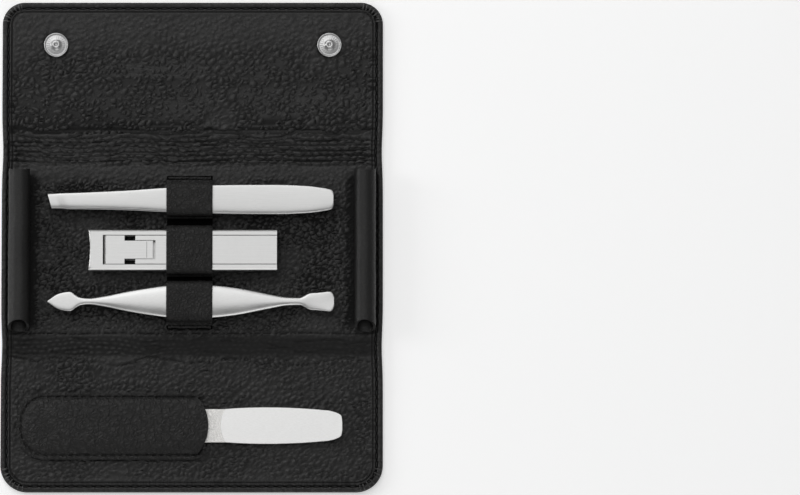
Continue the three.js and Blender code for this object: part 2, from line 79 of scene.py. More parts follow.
def make_camera():
    """A long lens, nearly straight above, with the case at the left of the picture."""
    camera_data = bpy.data.cameras.new("camera")
    camera_data.lens = LENS
    camera_data.sensor_width = SENSOR
    camera_data.clip_start = 0.1
    camera_data.clip_end = 10
    camera = bpy.data.objects.new("camera", camera_data)
    bpy.context.scene.collection.objects.link(camera)
    target = Vector(((IMAGE_WIDTH / 2 - CASE_MIDDLE) / PIXELS_PER_MM, -0.35, 2)) * MM
    distance = IMAGE_WIDTH / PIXELS_PER_MM * MM * LENS / SENSOR
    away = Vector((0, -math.cos(VIEW_ELEVATION), math.sin(VIEW_ELEVATION)))
    camera.location = target + away * distance
    camera.rotation_euler = (math.pi / 2 - VIEW_ELEVATION, 0, 0)
    bpy.context.scene.camera = camera
    return camera


camera = make_camera()
print("camera", [round(c, 3) for c in camera.location])

# %% [markdown]
# ## Table and light
#
# The photograph has a white background and soft light from above and from the far side. A
# wide lamp over the case is what the flat metal and the tops of the leather's pebbles
# reflect. A lower one on the far side lights the slopes of the pebbles that face it, a weak
# one at the left draws a thin line of light on the side rolls, and a low, wide one lifts the
# near edge. Whatever leans away from them all reflects the weak sky and stays dark. The sky
# is a little brighter in reflections, so that steel turned away from the lamps is grey and
# not black. The table is white to the camera and in reflections, apart from the shadow.

# %% Shader nodes in few lines
def feed(tree, node, inputs):
    """Sets each named input of a node, to a value or from another node's output."""
    for socket, value in inputs.items():
        if isinstance(value, bpy.types.NodeSocket):
            tree.links.new(value, node.inputs[socket])
        else:
            node.inputs[socket].default_value = value
    return node


def add_node(tree, kind, inputs, **settings):
    """A new shader node with its settings and inputs."""
    node = tree.nodes.new(f"ShaderNode{kind}")
    for setting, value in settings.items():
        setattr(node, setting, value)
    return feed(tree, node, inputs)


def math_node(tree, operation, first, second, clamp=False):
    """The result of a Math node."""
    node = add_node(tree, "Math", {0: first, 1: second}, operation=operation, use_clamp=clamp)
    return node.outputs[0]


def object_place(tree):
    """Object coordinates, so that a pattern stays on its piece."""
    return add_node(tree, "TexCoord", {}).outputs["Object"]


def blank_material(name):
    """A new node material, its tree and its shader."""
    material = bpy.data.materials.new(name)
    material.use_nodes = True
    return material, material.node_tree, material.node_tree.nodes["Principled BSDF"]


print("node helpers ready")

# %% Table, sky and lamps
WHITE = (1, 1, 1, 1)
TABLE_GLOW = 0.42
SKY, SKY_IN_REFLECTIONS = 0.1, 0.15
LAMPS = {
    # place in metres, size in metres, power in watts
    "key_lamp": ((-0.1, 0.35, 1.2), 1.0, 3.1), "far_lamp": ((-0.35, 1.0, 0.65), 1.1, 5.2),
    "side_lamp": ((-1.0, 0.25, 0.4), 0.4, 2.8), "near_lamp": ((0.2, -1.2, 0.34), 1.1, 4.8),
}


def link(name, data):
    """A new object at the origin that shows this mesh or lamp."""
    made = bpy.data.objects.new(name, data)
    bpy.context.scene.collection.objects.link(made)
    return made


def make_table():
    """The pale plane that the case lies on."""
    bm = bmesh.new()
    bmesh.ops.create_grid(bm, x_segments=1, y_segments=1, size=3)
    mesh = bpy.data.meshes.new("table_top")
    bm.to_mesh(mesh)
    bm.free()
    table = link("table_top", mesh)
    material, tree, shader = blank_material("white_table")
    seen = add_node(tree, "LightPath", {}).outputs
    direct = math_node(tree, "MAXIMUM", seen["Is Camera Ray"], seen["Is Glossy Ray"])
    white = math_node(tree, "MAXIMUM", direct, seen["Is Transmission Ray"])
    glow = math_node(tree, "MULTIPLY", white, TABLE_GLOW)
    feed(tree, shader, {
        "Base Color": (0.95, 0.95, 0.95, 1), "Roughness": 0.9, "Specular IOR Level": 0.1,
        "Emission Color": WHITE, "Emission Strength": glow})
    mesh.materials.append(material)


def make_lamp(name, place, size, watts):
    """A square soft lamp that points at the case."""
    lamp_data = bpy.data.lights.new(name, "AREA")
    lamp_data.shape = "SQUARE"
    lamp_data.size = size
    lamp_data.energy = watts
    lamp = link(name, lamp_data)
    lamp.location = place
    lamp.rotation_euler = (-Vector(place)).to_track_quat("-Z", "Y").to_euler()


def make_sky():
    """A weak white sky, brighter to reflections than to the leather's own colour."""
    world = bpy.data.worlds.new("studio")
    bpy.context.scene.world = world
    world.use_nodes = True
    tree = world.node_tree
    glossy = add_node(tree, "LightPath", {}).outputs["Is Glossy Ray"]
    extra = math_node(tree, "MULTIPLY", glossy, SKY_IN_REFLECTIONS)
    feed(tree, tree.nodes["Background"],
         {"Color": WHITE, "Strength": math_node(tree, "ADD", extra, SKY)})
    bpy.context.scene.view_settings.view_transform = "Standard"


make_table()
make_sky()
for lamp_name, (place, size, watts) in LAMPS.items():
    make_lamp(lamp_name, place, size, watts)
print("lamps", list(LAMPS))

# %% [markdown]
# ## Leather
#
# Soft calf leather is dyed through and embossed with small pebbles: flat islands, parted by
# thin valleys that branch like cracks. A Voronoi texture's distance to its cell edges gives
# the islands, and noise that pushes its coordinates about makes them irregular. A second,
# coarser one joins islands into larger folds, and fine noise adds pores. All three are mixed
# in one node group, which every leather on the case uses with values of its own. Where a
# piece carries pebbles as shape, its vertices know how deep in a valley they lie, and the
# group reads that as an attribute. The panels of the outer leather are only a little uneven
# in shape, and their pebbles come from the group.

# %% Pebbled leather as a node group
PUSH = 0.0016
PORE_SHARE = 0.25


def new_group(name, inputs, outputs):
    """An empty shader node group with these float inputs and their values, and outputs."""
    group = bpy.data.node_groups.new(name, "ShaderNodeTree")
    for label, value in inputs.items():
        socket = group.interface.new_socket(label, in_out="INPUT", socket_type="NodeSocketFloat")
        socket.default_value = value
    for label in outputs:
        group.interface.new_socket(label, in_out="OUTPUT", socket_type="NodeSocketFloat")
    return group, group.nodes.new("NodeGroupInput"), group.nodes.new("NodeGroupOutput")


def smooth_step(tree, value, low, high):
    """A soft ramp from 0 at low to 1 at high."""
    return add_node(tree, "MapRange", {"Value": value, "From Min": low, "From Max": high},
                    interpolation_type="SMOOTHSTEP").outputs["Result"]


def noise_texture(tree, place, scale, detail):
    """Noise with so many spots to the metre."""
    return add_node(tree, "TexNoise", {"Vector": place, "Scale": scale, "Detail": detail})


def pebble_group():
    """Height, valley and patch masks of pebbled leather, from Object coordinates."""
    group, given, result = new_group("pebbled_leather", {"Pebbles per metre": 700},
                                     ("Height", "Valley", "Patch"))
    place = object_place(group)
    warp = noise_texture(group, place, 420, 3)
    centred = add_node(group, "VectorMath", {0: warp.outputs["Color"], 1: (0.5, 0.5, 0.5)},
                       operation="SUBTRACT")
    pushed = add_node(group, "VectorMath", {0: centred.outputs[0], 1: (PUSH, PUSH, PUSH), 2: place},
                      operation="MULTIPLY_ADD")
    layers = []
    for share, width, weight in ((1.0, 0.34, 0.55), (0.43, 0.3, 0.45)):
        scale = math_node(group, "MULTIPLY", given.outputs["Pebbles per metre"], share)
        cells = add_node(group, "TexVoronoi", {"Vector": pushed.outputs[0], "Scale": scale},
                         feature="DISTANCE_TO_EDGE")
        islands = smooth_step(group, cells.outputs["Distance"], 0.0, width)
        layers.append(math_node(group, "MULTIPLY", islands, weight))
    pebbles = math_node(group, "ADD", *layers)
    pores = noise_texture(group, place, 5200, 2)
    grit = math_node(group, "MULTIPLY", pores.outputs["Fac"], PORE_SHARE)
    # Painted shade: the valley mask is high between the islands and where a piece's vertices lie
    # deep.
    shallow = math_node(group, "SUBTRACT", 1, pebbles, clamp=True)
    carved = add_node(group, "Attribute", {}, attribute_name="valley")
    patches = noise_texture(group, place, 90, 4)
    feed(group, result, {
        "Height": math_node(group, "ADD", pebbles, grit),
        "Valley": math_node(group, "MAXIMUM", math_node(group, "MULTIPLY", shallow, 0.5),
                            carved.outputs["Fac"]),
        "Patch": smooth_step(group, patches.outputs["Fac"], 0.35, 0.65)})
    return group


PEBBLED = pebble_group()
print("leather group", len(PEBBLED.nodes), "nodes")

# %% [markdown]
# The leather's colour is one black, a little browner and paler where hands have polished the
# tops. It is painted darker in the valleys, folds and other hollows, as painted shade. Its
# shine changes the same way, so roughness and colour are driven by the same masks, and the
# height goes to a Bump node.

# %% Leather materials
DYED = (0.0085, 0.0082, 0.0079)
POLISHED_TOP = (0.0125, 0.0121, 0.0116)
# Painted shade: the colour of the deepest valleys, folds and hollows.
VALLEY_SHADE_BLACK = (0.0022, 0.0021, 0.0020, 1)


def ramp(tree, mask, dark, light):
    """Mixes two colours by a mask."""
    return add_node(tree, "Mix", {"A": (*dark, 1), "B": (*light, 1), "Factor": mask},
                    data_type="RGBA").outputs["Result"]


def spread(tree, mask, low, high):
    """A value that goes from low to high as the mask goes from 0 to 1."""
    scale = add_node(tree, "MapRange", {"Value": mask, "To Min": low, "To Max": high})
    return scale.outputs["Result"]


def bump(tree, height, distance):
    """Normals of a relief that is this deep in metres."""
    relief = add_node(tree, "Bump", {"Strength": 1, "Distance": distance, "Height": height})
    return relief.outputs["Normal"]


def leather(name, pebbles, depth, tone, rough, sheen):
    """One leather: pebbles to the metre, relief in metres, and how pale and shiny it is."""
    material, tree, shader = blank_material(name)
    grain = add_node(tree, "Group", {"Pebbles per metre": pebbles}, node_tree=PEBBLED).outputs
    tops = ramp(tree, grain["Patch"], [c * tone for c in DYED], [c * tone for c in POLISHED_TOP])
    # Painted shade: the valley mask darkens the colour in the hollows.
    black = add_node(tree, "Mix", {"A": tops, "B": VALLEY_SHADE_BLACK, "Factor": grain["Valley"]},
                     data_type="RGBA")
    feed(tree, shader, {
        "Base Color": black.outputs["Result"], "Roughness": spread(tree, grain["Valley"], *rough),
        "Specular IOR Level": sheen, "Normal": bump(tree, grain["Height"], depth)})
    return material


LINING_LEATHER = leather("lining_leather", 1500, 0.000035, 1.05, (0.34, 1.0), 0.52)
OUTER_LEATHER = leather("outer_leather", 700, 0.00016, 1.25, (0.38, 1.0), 0.5)
ROLL_LEATHER = leather("roll_leather", 1500, 0.00004, 0.9, (0.42, 0.7), 0.42)
STRAP_LEATHER = leather("strap_leather", 950, 0.00022, 1.1, (0.42, 1.0), 0.36)
POCKET_LEATHER = leather("moulded_leather", 780, 0.00024, 1.15, (0.38, 1.0), 0.38)
# The base strip's leather is made near black: painted shade in the gaps between the strap's loops.
GAP_SHADE_LEATHER = leather("gap_shade_leather", 2600, 0.00008, 0.2, (0.9, 1.0), 0.04)
# The pleats' leather is paler, a painted highlight on their ridges, and also smoother and shinier.
PLEAT_HIGHLIGHT_LEATHER = leather("pleat_highlight_leather", 1500, 0.00003, 2.2, (0.3, 0.7), 0.8)
print("leathers", [kind.name for kind in bpy.data.materials if kind.name.endswith("leather")])

# %% [markdown]
# ## The case's two skins
#
# The outer leather is wrapped round the edge of the boards, turned in and sewn down, and the
# lining lies inside the turned edge. Both follow the same outline, so one way of making
# serves for both: a grid for the wide middle, whose corners are rounded by a formula, and
# rings pulled outwards from its border to draw the edge in cross-section. The creases, the
# wrinkles over the spines and the dents round the snaps are heights worked out for each
# vertex of the grid.

# %% Measure the panels
def middle_of(node):
    """The middle of a node's box."""
    low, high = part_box(node)
    return (low + high) / 2


SIDES = ("left", "right")
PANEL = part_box("lining_back")[1].z
HALF_WIDTH, FAR_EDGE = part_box("leather_flap")[1].to_2d()
FLAP_CORNER = 7 * MM
FRONT_CORNER = 8.5 * MM
CORNERS = [(1, 1, FLAP_CORNER), (-1, 1, FLAP_CORNER), (-1, -1, FRONT_CORNER), (1, -1, FRONT_CORNER)]
hinge_y = {joint["name"]: joint["pos_m"][1] for joint in frame["joints"] if "fold" in joint["name"]}
FOLD_JOINTS = ("flap_fold", "top_spine_fold", "bottom_spine_fold", "front_fold")
CREASES = [hinge_y[name] for name in FOLD_JOINTS]
FLAP_CREASE, BACK_TOP, BACK_BOTTOM, FRONT_CREASE = CREASES
SPINE_MIDDLES = ((FLAP_CREASE + BACK_TOP) / 2, (FRONT_CREASE + BACK_BOTTOM) / 2)
STUDS, SOCKETS = ([middle_of(f"snap_{kind}_{side}").to_2d() for side in SIDES]
                  for kind in ("stud", "socket"))
BADGE = middle_of("badge_frame").to_2d()
ROLL_LOW, ROLL_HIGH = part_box("side_roll_right")
print("panel", round(PANEL / MM, 2), "mm thick, creases at", [round(y / MM, 1) for y in CREASES])

# %% Soft steps and noise
def bell(distance, width):
    """1 at no distance, falling smoothly to 0."""
    return math.exp(-(distance / width) ** 2)


def soft_ramp(value, low, high):
    """0 below low, 1 above high, and smooth between."""
    share = max(0.0, min(1.0, (value - low) / (high - low)))
    return share * share * (3 - 2 * share)


def drift(x, y, z):
    """Smooth noise between -1 and 1."""
    return noise.noise(Vector((x, y, z)))


print("bell of 1 in 2:", round(bell(1, 2), 2), "soft ramp at a quarter:", soft_ramp(0.25, 0, 1))

# %% Round the grid's corners and pull rings from it
def corner_radius(y):
    """The outline's corner radius at the end of the case that y is nearer to."""
    return FLAP_CORNER if y > 0 else FRONT_CORNER


def plan_point(x, y, inset):
    """Maps the square from -1 to 1 onto the case's outline, drawn in by inset."""
    half_x, half_y = HALF_WIDTH - inset, FAR_EDGE - inset
    px, py = x * half_x, y * half_y
    radius = corner_radius(y) - inset
    a = 1 - (half_x - abs(px)) / radius
    b = 1 - (half_y - abs(py)) / radius
    if a > 0 and b > 0:
        px = math.copysign(half_x - radius + radius * a * math.sqrt(1 - b * b / 2), px)
        py = math.copysign(half_y - radius + radius * b * math.sqrt(1 - a * a / 2), py)
    return px, py


def outward(x, y):
    """Unit direction square to the outline, for a point near it."""
    radius = corner_radius(y)
    core_x = max(-(HALF_WIDTH - radius), min(HALF_WIDTH - radius, x))
    core_y = max(-(FAR_EDGE - radius), min(FAR_EDGE - radius, y))
    away = Vector((x - core_x, y - core_y))
    if away.length < 1e-9:
        away = Vector((x, 0)) if abs(x) > abs(y) else Vector((0, y))
    return away.normalized()


def next_ring(bm, loop):
    """Extrudes a closed loop of edges. Gives the new vertices and the new loop."""
    made = bmesh.ops.extrude_edge_only(bm, edges=loop)["geom"]
    fresh = {part for part in made if isinstance(part, bmesh.types.BMVert)}
    rim = [part for part in made if isinstance(part, bmesh.types.BMEdge) and part.is_boundary
           and all(vertex in fresh for vertex in part.verts)]
    return fresh, rim


def pull_rings(bm, inset, rings, relief):
    """Extrudes the border outwards. Each ring is (inset, height, pit, gather) in millimetres."""
    loop = [edge for edge in bm.edges if edge.is_boundary]
    for ring_inset, height, pit, gather in rings:
        fresh, loop = next_ring(bm, loop)
        step = inset - ring_inset * MM
        for vertex in fresh:
            x, y = vertex.co.x, vertex.co.y
            side = outward(x, y)
            vertex.co.x += side.x * step
            vertex.co.y += side.y * step
            vertex.co.z = height * MM + relief(x, y, pit, gather)
        inset = ring_inset * MM
    return loop


def waist(x, y):
    """The leather draws in by up to half a millimetre where the spines bend."""
    return x * (1 - 0.006 * sum(bell(y - middle, 7 * MM) for middle in SPINE_MIDDLES))


print("half width", round(HALF_WIDTH / MM, 1), "far edge", round(FAR_EDGE / MM, 1))

# %% [markdown]
# Pebbles as large as these are shape and not only shading: they catch the light one by one.
# So the grid is finer than they are, and each vertex is lifted by how far it lies from the
# edge of its Voronoi cell. The cells are wider than high, lie in rows that climb to the
# right, and are pushed about by noise. Where leather is often bent, its pebbles change. On
# the top spine they give way to rows of lens-shaped scales, and on the bottom spine to short
# low waves, most of them at the left.

# %% Pebbles as a height
CLIMB = 0.46
FLAP_PEBBLE, BACK_PEBBLE, FRONT_PEBBLE = 2.2 * MM, 1.75 * MM, 1.9 * MM
SCALE_SIZE = (2.7 * MM, 1.6 * MM)
WAVE_SIZE = (2.2 * MM, 1.4 * MM)


def pebble(x, y, wide, high, climb, seed):
    """Dome height and crack depth, both 0 to 1, of pebbles that are wide by high."""
    push_x = 0.8 * MM * drift(x / (3.6 * MM), y / (3.6 * MM), seed)
    push_y = 0.8 * MM * drift(x / (3.6 * MM), y / (3.6 * MM), seed + 5)
    swing = 1.8 * MM * drift(x / (21 * MM), y / (14 * MM), seed + 9)
    px, py = x + push_x, y + push_y + swing
    along = (px * math.cos(climb) + py * math.sin(climb)) / wide
    across = (py * math.cos(climb) - px * math.sin(climb)) / high
    near, next_near = noise.voronoi(Vector((along, across, seed)))[0][:2]
    gap = next_near - near
    return (1 - 0.9 * near * near) * soft_ramp(gap, 0, 0.36), 1 - soft_ramp(gap, 0.02, 0.3)


def brick(x, y, size, seed):
    """Where a point lies in its brick of a swaying wall: along, up, and the brick's chance."""
    length, height = size
    sway = drift(x / (13 * MM), 0.4, seed) + 0.5 * drift(x / (4 * MM), y / (3 * MM), seed + 2)
    row_place = (y + 1.5 * MM * sway) / height
    row = math.floor(row_place)
    shift = 0.5 * row + 0.7 * drift(x / (5 * MM), row * 1.7, seed + 4)
    column_place = x / length + shift
    column = math.floor(column_place)
    chance = noise.cell(Vector((column, row, 3)))
    return column_place - column - 0.5, row_place - row - 0.5, chance


def scales(x, y):
    """Dome height and crack depth of the lens-shaped scales on the top spine."""
    along, up, chance = brick(x, y, SCALE_SIZE, 31.0)
    thick = 0.5 * (1 - 2.6 * along * along) * (0.85 + 0.15 * chance)
    dome = max(0, 1 - (up / thick) ** 2) * (1 - 0.8 * (2 * along) ** 4)
    return dome, 1 - soft_ramp(dome, 0.05, 0.4)


def waves(x, y):
    """Height, 0 to 1, of the short low waves on the bottom spine."""
    along, up, chance = brick(x, y, WAVE_SIZE, 51.0)
    crest = (1 - (2 * along) ** 2) ** 2 * bell(up, 0.2) * (0.3 + 0.7 * abs(chance))
    return crest * (1 - 0.7 * soft_ramp(x, -32 * MM, 2 * MM))


def spine_share(y):
    """1 on the two spines, 0 on the panels."""
    share = 0
    for low, high in ((BACK_TOP, FLAP_CREASE), (FRONT_CREASE, BACK_BOTTOM)):
        middle, half = (low + high) / 2, (high - low) / 2
        share = max(share, soft_ramp(-abs(y - middle), -half - 0.4 * MM, -half + 2.2 * MM))
    return share


def panel_grain(x, y):
    """Strength and size of the pebbles: bold on the flap, softer near its edge, finer below."""
    slow = 0.85 + 0.6 * drift(x / (16 * MM), y / (12 * MM), 11.0)
    if y > FLAP_CREASE:
        return slow * (0.35 + 0.85 * soft_ramp(FAR_EDGE - y, 8 * MM, 24 * MM)), FLAP_PEBBLE
    if y > BACK_BOTTOM:
        return slow * (0.3 + 0.6 * soft_ramp(BACK_TOP - y, 1.5 * MM, 6 * MM)), BACK_PEBBLE
    return slow * 0.75, FRONT_PEBBLE


print("pebbles on the flap", FLAP_PEBBLE / MM, "mm wide")

# %% [markdown]
# The folds are the deepest marks on the lining. Each is a valley that wanders about its
# line, deeper in some places than in others, with a swelling beside it where the leather is
# pushed up. The top spine is folded most and has a whole row of them, close together. The
# bottom spine has sunk a little between its two panels. No valley is deeper than the room
# between the lining's face and the outer leather. The folds, the cracks between pebbles, the
# strips beside the side rolls and the bottom spine are also painted darker, as painted shade,
# and the bottom spine's wave crests less so.

# %% Heights of the lining
# place along Y, sideways wander, width and depth in millimetres, and how broken up it is
FOLDS = [
    (36.4, 2.0, 0.5, 0.9, 0.25), (35.2, 1.8, 0.42, 0.7, 0.6), (33.3, 1.5, 0.34, 0.4, 0.8),
    (31.2, 1.5, 0.32, 0.35, 0.9), (28.9, 1.5, 0.34, 0.4, 0.8), (26.8, 1.2, 0.32, 0.3, 0.8),
    (38.2, 1.6, 0.34, 0.4, 0.8), (-27.5, 0.25, 0.4, 0.32, 0.2),
    (-29.6, 1.2, 0.3, 0.3, 0.9), (-31.4, 1.6, 0.3, 0.35, 0.9), (-33.2, 1.6, 0.3, 0.35, 0.9),
    (-35.0, 1.6, 0.3, 0.3, 0.9), (-36.6, 1.4, 0.4, 0.45, 0.5), (-38.4, 1.8, 0.3, 0.3, 0.9),
]
DEEPEST = -1.1


def wander(x, seed, size):
    """A slow sideways wave that keeps long creases from being ruler-straight."""
    return size * (drift(x / (17 * MM), seed, 0.3) + 0.35 * drift(x / (5 * MM), seed, 7.3))


def fold_height(x, y):
    """The valleys and swellings along the folds, in millimetres."""
    height = 0.0
    for seed, (place, sway, width, depth, broken) in enumerate(FOLDS):
        away = y - place * MM
        if abs(away) <= 5 * MM:
            line = (away - wander(x, seed * 3.1, 1.8 * sway * MM)) / MM
            share = 1 - broken + 1.6 * broken * drift(x / (8 * MM), seed * 5.0, 2.0)
            swelling = 0.35 * bell(abs(line) - 2.2 * width, width)
            height += max(0, share) * depth * (swelling - bell(line, width))
    return height


def stud_dent(x, y):
    """The leather dips round a stud and puckers a little further out, in millimetres."""
    height = 0.0
    for stud in STUDS:
        reach = (Vector((x, y)) - stud).length
        if reach < 12 * MM:
            angle = math.atan2(y - stud.y, x - stud.x)
            height -= 0.25 * bell(max(0, reach - 3.6 * MM), 1.0 * MM)
            height += 0.06 * math.sin(9 * angle + stud.x * 900) * bell(reach - 5.4 * MM, 1.5 * MM)
    return height


def lining_height(x, y):
    """Height of the lining's face above its board in millimetres, and its valley shade to paint."""
    share = spine_share(y)
    sunken = share if y < 0 else 0.0
    crest = waves(x, y) if sunken else 0.0
    dome, crack = 0.0, 0.0
    if share < 1:
        strength, size = panel_grain(x, y)
        grain, gap = pebble(x, y, size, 0.66 * size, CLIMB, 1.0)
        dome += (1 - share) * strength * (grain - 1)
        crack += (1 - share) * strength * gap
    if share > 0:
        grain, gap = scales(x, y) if y > 0 else (0.4 + 1.1 * crest, 0)
        dome += share * (grain - 1)
        crack += share * gap
    # Painted shadow of each roll: the lining beside it is painted darker, and dips a little.
    beside_roll = 0.0
    if ROLL_LOW.y < y < ROLL_HIGH.y:
        ends = soft_ramp(min(y - ROLL_LOW.y, ROLL_HIGH.y - y), 0, 3 * MM)
        beside_roll = ends * soft_ramp(abs(x), ROLL_LOW.x - 3.4 * MM, ROLL_LOW.x - 0.4 * MM)
    folds = fold_height(x, y)
    height = 0.5 * dome - 0.26 * crack + folds - 0.2 * sunken - 0.35 * beside_roll
    height += 0.10 * drift(x / (19 * MM), y / (13 * MM), 0.5)
    height += 0.05 * drift(x / (5 * MM), y / (4 * MM), 2.5) + stud_dent(x, y)
    # Painted shade: darker in cracks, folds, beside the rolls and on the bottom spine, less on
    # crests.
    valley = crack + max(0.0, -folds) * 2.0 + beside_roll + (0.85 - crest) * sunken
    return max(DEEPEST, height), max(0.0, min(1.0, valley))


print("lining at mid spine", [round(v, 3) for v in lining_height(0, SPINE_MIDDLES[0])])

# %% [markdown]
# The seam runs just inside the turned edge. Each stitch is pulled down into a short pit, and
# between two stitches the leather swells up again. For that a point needs to know how far
# along the seam it lies, so the outline is measured as one line: four quarter turns, parted
# by the straight sides.

# %% Measure along the edge
SEAM_INSET = 1.95 * MM
STITCH_PITCH = 2.85 * MM
PUCKER = 0.27 * MM
QUARTER = math.pi / 2


def edge_runs():
    """Where each corner begins along the seam, in metres, and the seam's whole length."""
    starts, reach = [], 0.0
    for place, (_, _, radius) in enumerate(CORNERS):
        starts.append(reach)
        reach += (radius - SEAM_INSET) * QUARTER
        span = 2 * HALF_WIDTH if place % 2 == 0 else 2 * FAR_EDGE
        reach += span - radius - CORNERS[(place + 1) % 4][2]
    return starts, reach


CORNER_STARTS, SEAM_LENGTH = edge_runs()


def along_edge(x, y):
    """How far along the seam the nearest point to (x, y) lies."""
    for place, (side_x, side_y, radius) in enumerate(CORNERS):
        over_x = x * side_x - (HALF_WIDTH - radius)
        over_y = y * side_y - (FAR_EDGE - radius)
        if over_x > 0 and over_y > 0:
            turn = math.atan2(over_y, over_x)
            turn = turn if place % 2 == 0 else QUARTER - turn
            return CORNER_STARTS[place] + turn * (radius - SEAM_INSET)
    if FAR_EDGE - abs(y) < HALF_WIDTH - abs(x):
        place, run = (0, HALF_WIDTH - x) if y > 0 else (2, HALF_WIDTH + x)
    else:
        place, run = (1, FAR_EDGE - y) if x < 0 else (3, FAR_EDGE + y)
    radius = CORNERS[place][2]
    return CORNER_STARTS[place] + (radius - SEAM_INSET) * QUARTER + run - radius


def stitch_pit(x, y):
    """1 in the middle of a stitch, 0 where the leather swells between two."""
    phase = (along_edge(x, y) / STITCH_PITCH) % 1.0
    return soft_ramp(-abs(phase - 0.5), -0.42, -0.28)


def edge_gathers(x, y, depth):
    """Puckers square to the edge, in millimetres: bold at corners, fine along the sides."""
    side = outward(x, y)
    corner = min(1, 2.4 * abs(side.x * side.y))
    place = along_edge(x, y)
    bold = math.sin(place / PUCKER + 2.0 * drift(place / (2.5 * MM), 0, 3))
    fine = drift(place / (0.8 * MM), side.x, 6.0)
    return depth * (1.2 * corner * bold + (1 - corner) * (0.5 * abs(side.x) + 0.2) * fine)


print("seam", round(SEAM_LENGTH / MM, 1), "mm,", round(SEAM_LENGTH / STITCH_PITCH), "stitches")

# %% [markdown]
# A closed body is needed for each skin, so the last ring is turned under the lining and
# closed with one wide face. A skin can only bend where it has edges, so that face is cut
# across in small steps near the creases. The finished skin is parted at the middle of each
# spine and of the back, where nothing bends, because one piece can only follow two bodies.

# %% Close, cut and share out a skin
BEND = 2.3 * MM
MID_LINES = [FAR_EDGE + 1, SPINE_MIDDLES[0], (BACK_TOP + BACK_BOTTOM) / 2, SPINE_MIDDLES[1],
             -FAR_EDGE - 1]
STRETCHES = [
    ("flap", "top_spine", "flap", FLAP_CREASE), ("upper", "back", "top_spine", BACK_TOP),
    ("lower", "bottom_spine", "back", BACK_BOTTOM),
    ("front", "front", "bottom_spine", FRONT_CREASE),
]


def close_under(bm, loop):
    """Fills the open rim of a skin, and cuts the new face across wherever it bends."""
    made = bmesh.ops.edgeloop_fill(bm, edges=loop)["faces"]
    for crease in CREASES:
        for step in range(-6, 7):
            around = {part for face in made for part in (*face.verts, *face.edges)}
            kept = bmesh.ops.bisect_plane(
                bm, geom=[*around, *made], dist=1e-7, plane_co=(0, crease + step * BEND / 6, 0),
                plane_no=(0, 1, 0))["geom"]
            made = [part for part in kept if isinstance(part, bmesh.types.BMFace)]
    bmesh.ops.recalc_face_normals(bm, faces=bm.faces)


def keep_side(bm, y, side):
    """Cuts the skin at one line across, keeps what lies beyond it and caps the cut."""
    geometry = bm.verts[:] + bm.edges[:] + bm.faces[:]
    cut = bmesh.ops.bisect_plane(
        bm, geom=geometry, dist=1e-7, plane_co=(0, y, 0), plane_no=(0, 1, 0),
        clear_outer=side < 0, clear_inner=side > 0)["geom_cut"]
    rim = [part for part in cut if isinstance(part, bmesh.types.BMEdge) and part.is_boundary]
    for face in bmesh.ops.edgeloop_fill(bm, edges=rim)["faces"]:
        face.smooth = False


def shade(bm, limit=38):
    """Smooth shading, with the edges sharper than limit in degrees kept sharp."""
    for face in bm.faces:
        face.smooth = True
    for edge in bm.edges:
        if len(edge.link_faces) == 2 and edge.calc_face_angle(0) > math.radians(limit):
            edge.smooth = False


def to_piece(name, bm, material):
    """Makes a finished bmesh an object with its material."""
    mesh = bpy.data.meshes.new(name)
    bm.to_mesh(mesh)
    bm.free()
    mesh.materials.append(material)
    made = link(name, mesh)
    print(name, len(mesh.polygons), "faces")
    return made


def share_out(bm, name, material, replaced):
    """Parts a skin between its mid lines into stretches, each with one crease in it."""
    for place, (label, lower, upper, crease) in enumerate(STRETCHES):
        stretch = bm.copy()
        for y, side in ((MID_LINES[place], -1), (MID_LINES[place + 1], 1)):
            if abs(y) < FAR_EDGE:
                keep_side(stretch, y, side)
        piece = to_piece(f"{name}_{label}", stretch, material)
        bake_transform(piece)
        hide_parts(*replaced[place])
    bm.free()


def make_skin(columns, rows, face_height, underside, inset, rings, relief):
    """A closed skin: its grid at its heights, its edge and its other side."""
    bm = bmesh.new()
    bmesh.ops.create_grid(bm, x_segments=columns, y_segments=rows, size=1)
    # The valley attribute holds each vertex's painted shade, which the leather group reads.
    valley = bm.verts.layers.float.new("valley")
    for vertex in bm.verts:
        vertex.co.x, vertex.co.y = plan_point(vertex.co.x, vertex.co.y, inset)
        vertex.co.z, vertex[valley] = face_height(vertex.co.x, vertex.co.y)
    if underside:
        bmesh.ops.reverse_faces(bm, faces=bm.faces)
    close_under(bm, pull_rings(bm, inset, rings, relief))
    for vertex in bm.verts:
        vertex.co.x = waist(vertex.co.x, vertex.co.y)
    shade(bm, 70)
    return bm


print("a skin has", len(STRETCHES), "stretches")

# %% Make the lining
LINING_INSET = 3.5 * MM
LINING_RINGS = [
    (3.36, 1.82, 0, 0.3), (3.24, 1.6, 0, 0.4), (3.12, 1.5, 0, 0.4), (3.0, 1.55, 0, 0.6),
    (2.88, 1.75, 0, 1), (2.72, 1.93, 0, 1), (2.55, 1.99, 0.1, 1), (2.38, 1.96, 0.4, 1),
    (2.22, 1.82, 0.9, 0.8), (2.1, 1.64, 1, 0.5), (2.02, 1.45, 0.6, 0), (2.3, 1.36, 0, 0),
]


def lining_face(x, y):
    """Height of the lining above the table, lower towards its edge, and its painted valley shade.
    """
    height, depth = lining_height(x, y)
    edge = min(HALF_WIDTH - abs(x), FAR_EDGE - abs(y)) - LINING_INSET
    return PANEL + (0.05 + height * (0.4 + 0.6 * soft_ramp(edge, 0, 1.5 * MM))) * MM, depth


def lining_relief(x, y, pit, gather):
    """Stitch pits and gathers in the narrow band that the seam holds down."""
    return (pit * (0.2 - 0.6 * stitch_pit(x, y)) + edge_gathers(x, y, 0.1) * gather) * MM


lining = make_skin(300, 400, lining_face, False, LINING_INSET, LINING_RINGS, lining_relief)
share_out(lining, "lining", LINING_LEATHER, [
    ["lining_flap", "lining_top_spine"], ["lining_back"], ["lining_bottom_spine"],
    ["lining_front"]])

# %% [markdown]
# From outside, each panel looks softly padded, and its middle carries the weight on the
# table. The leather dips along the stitch line, round the sockets and beside the badge. The
# spines show fewer and wider wrinkles than the lining.

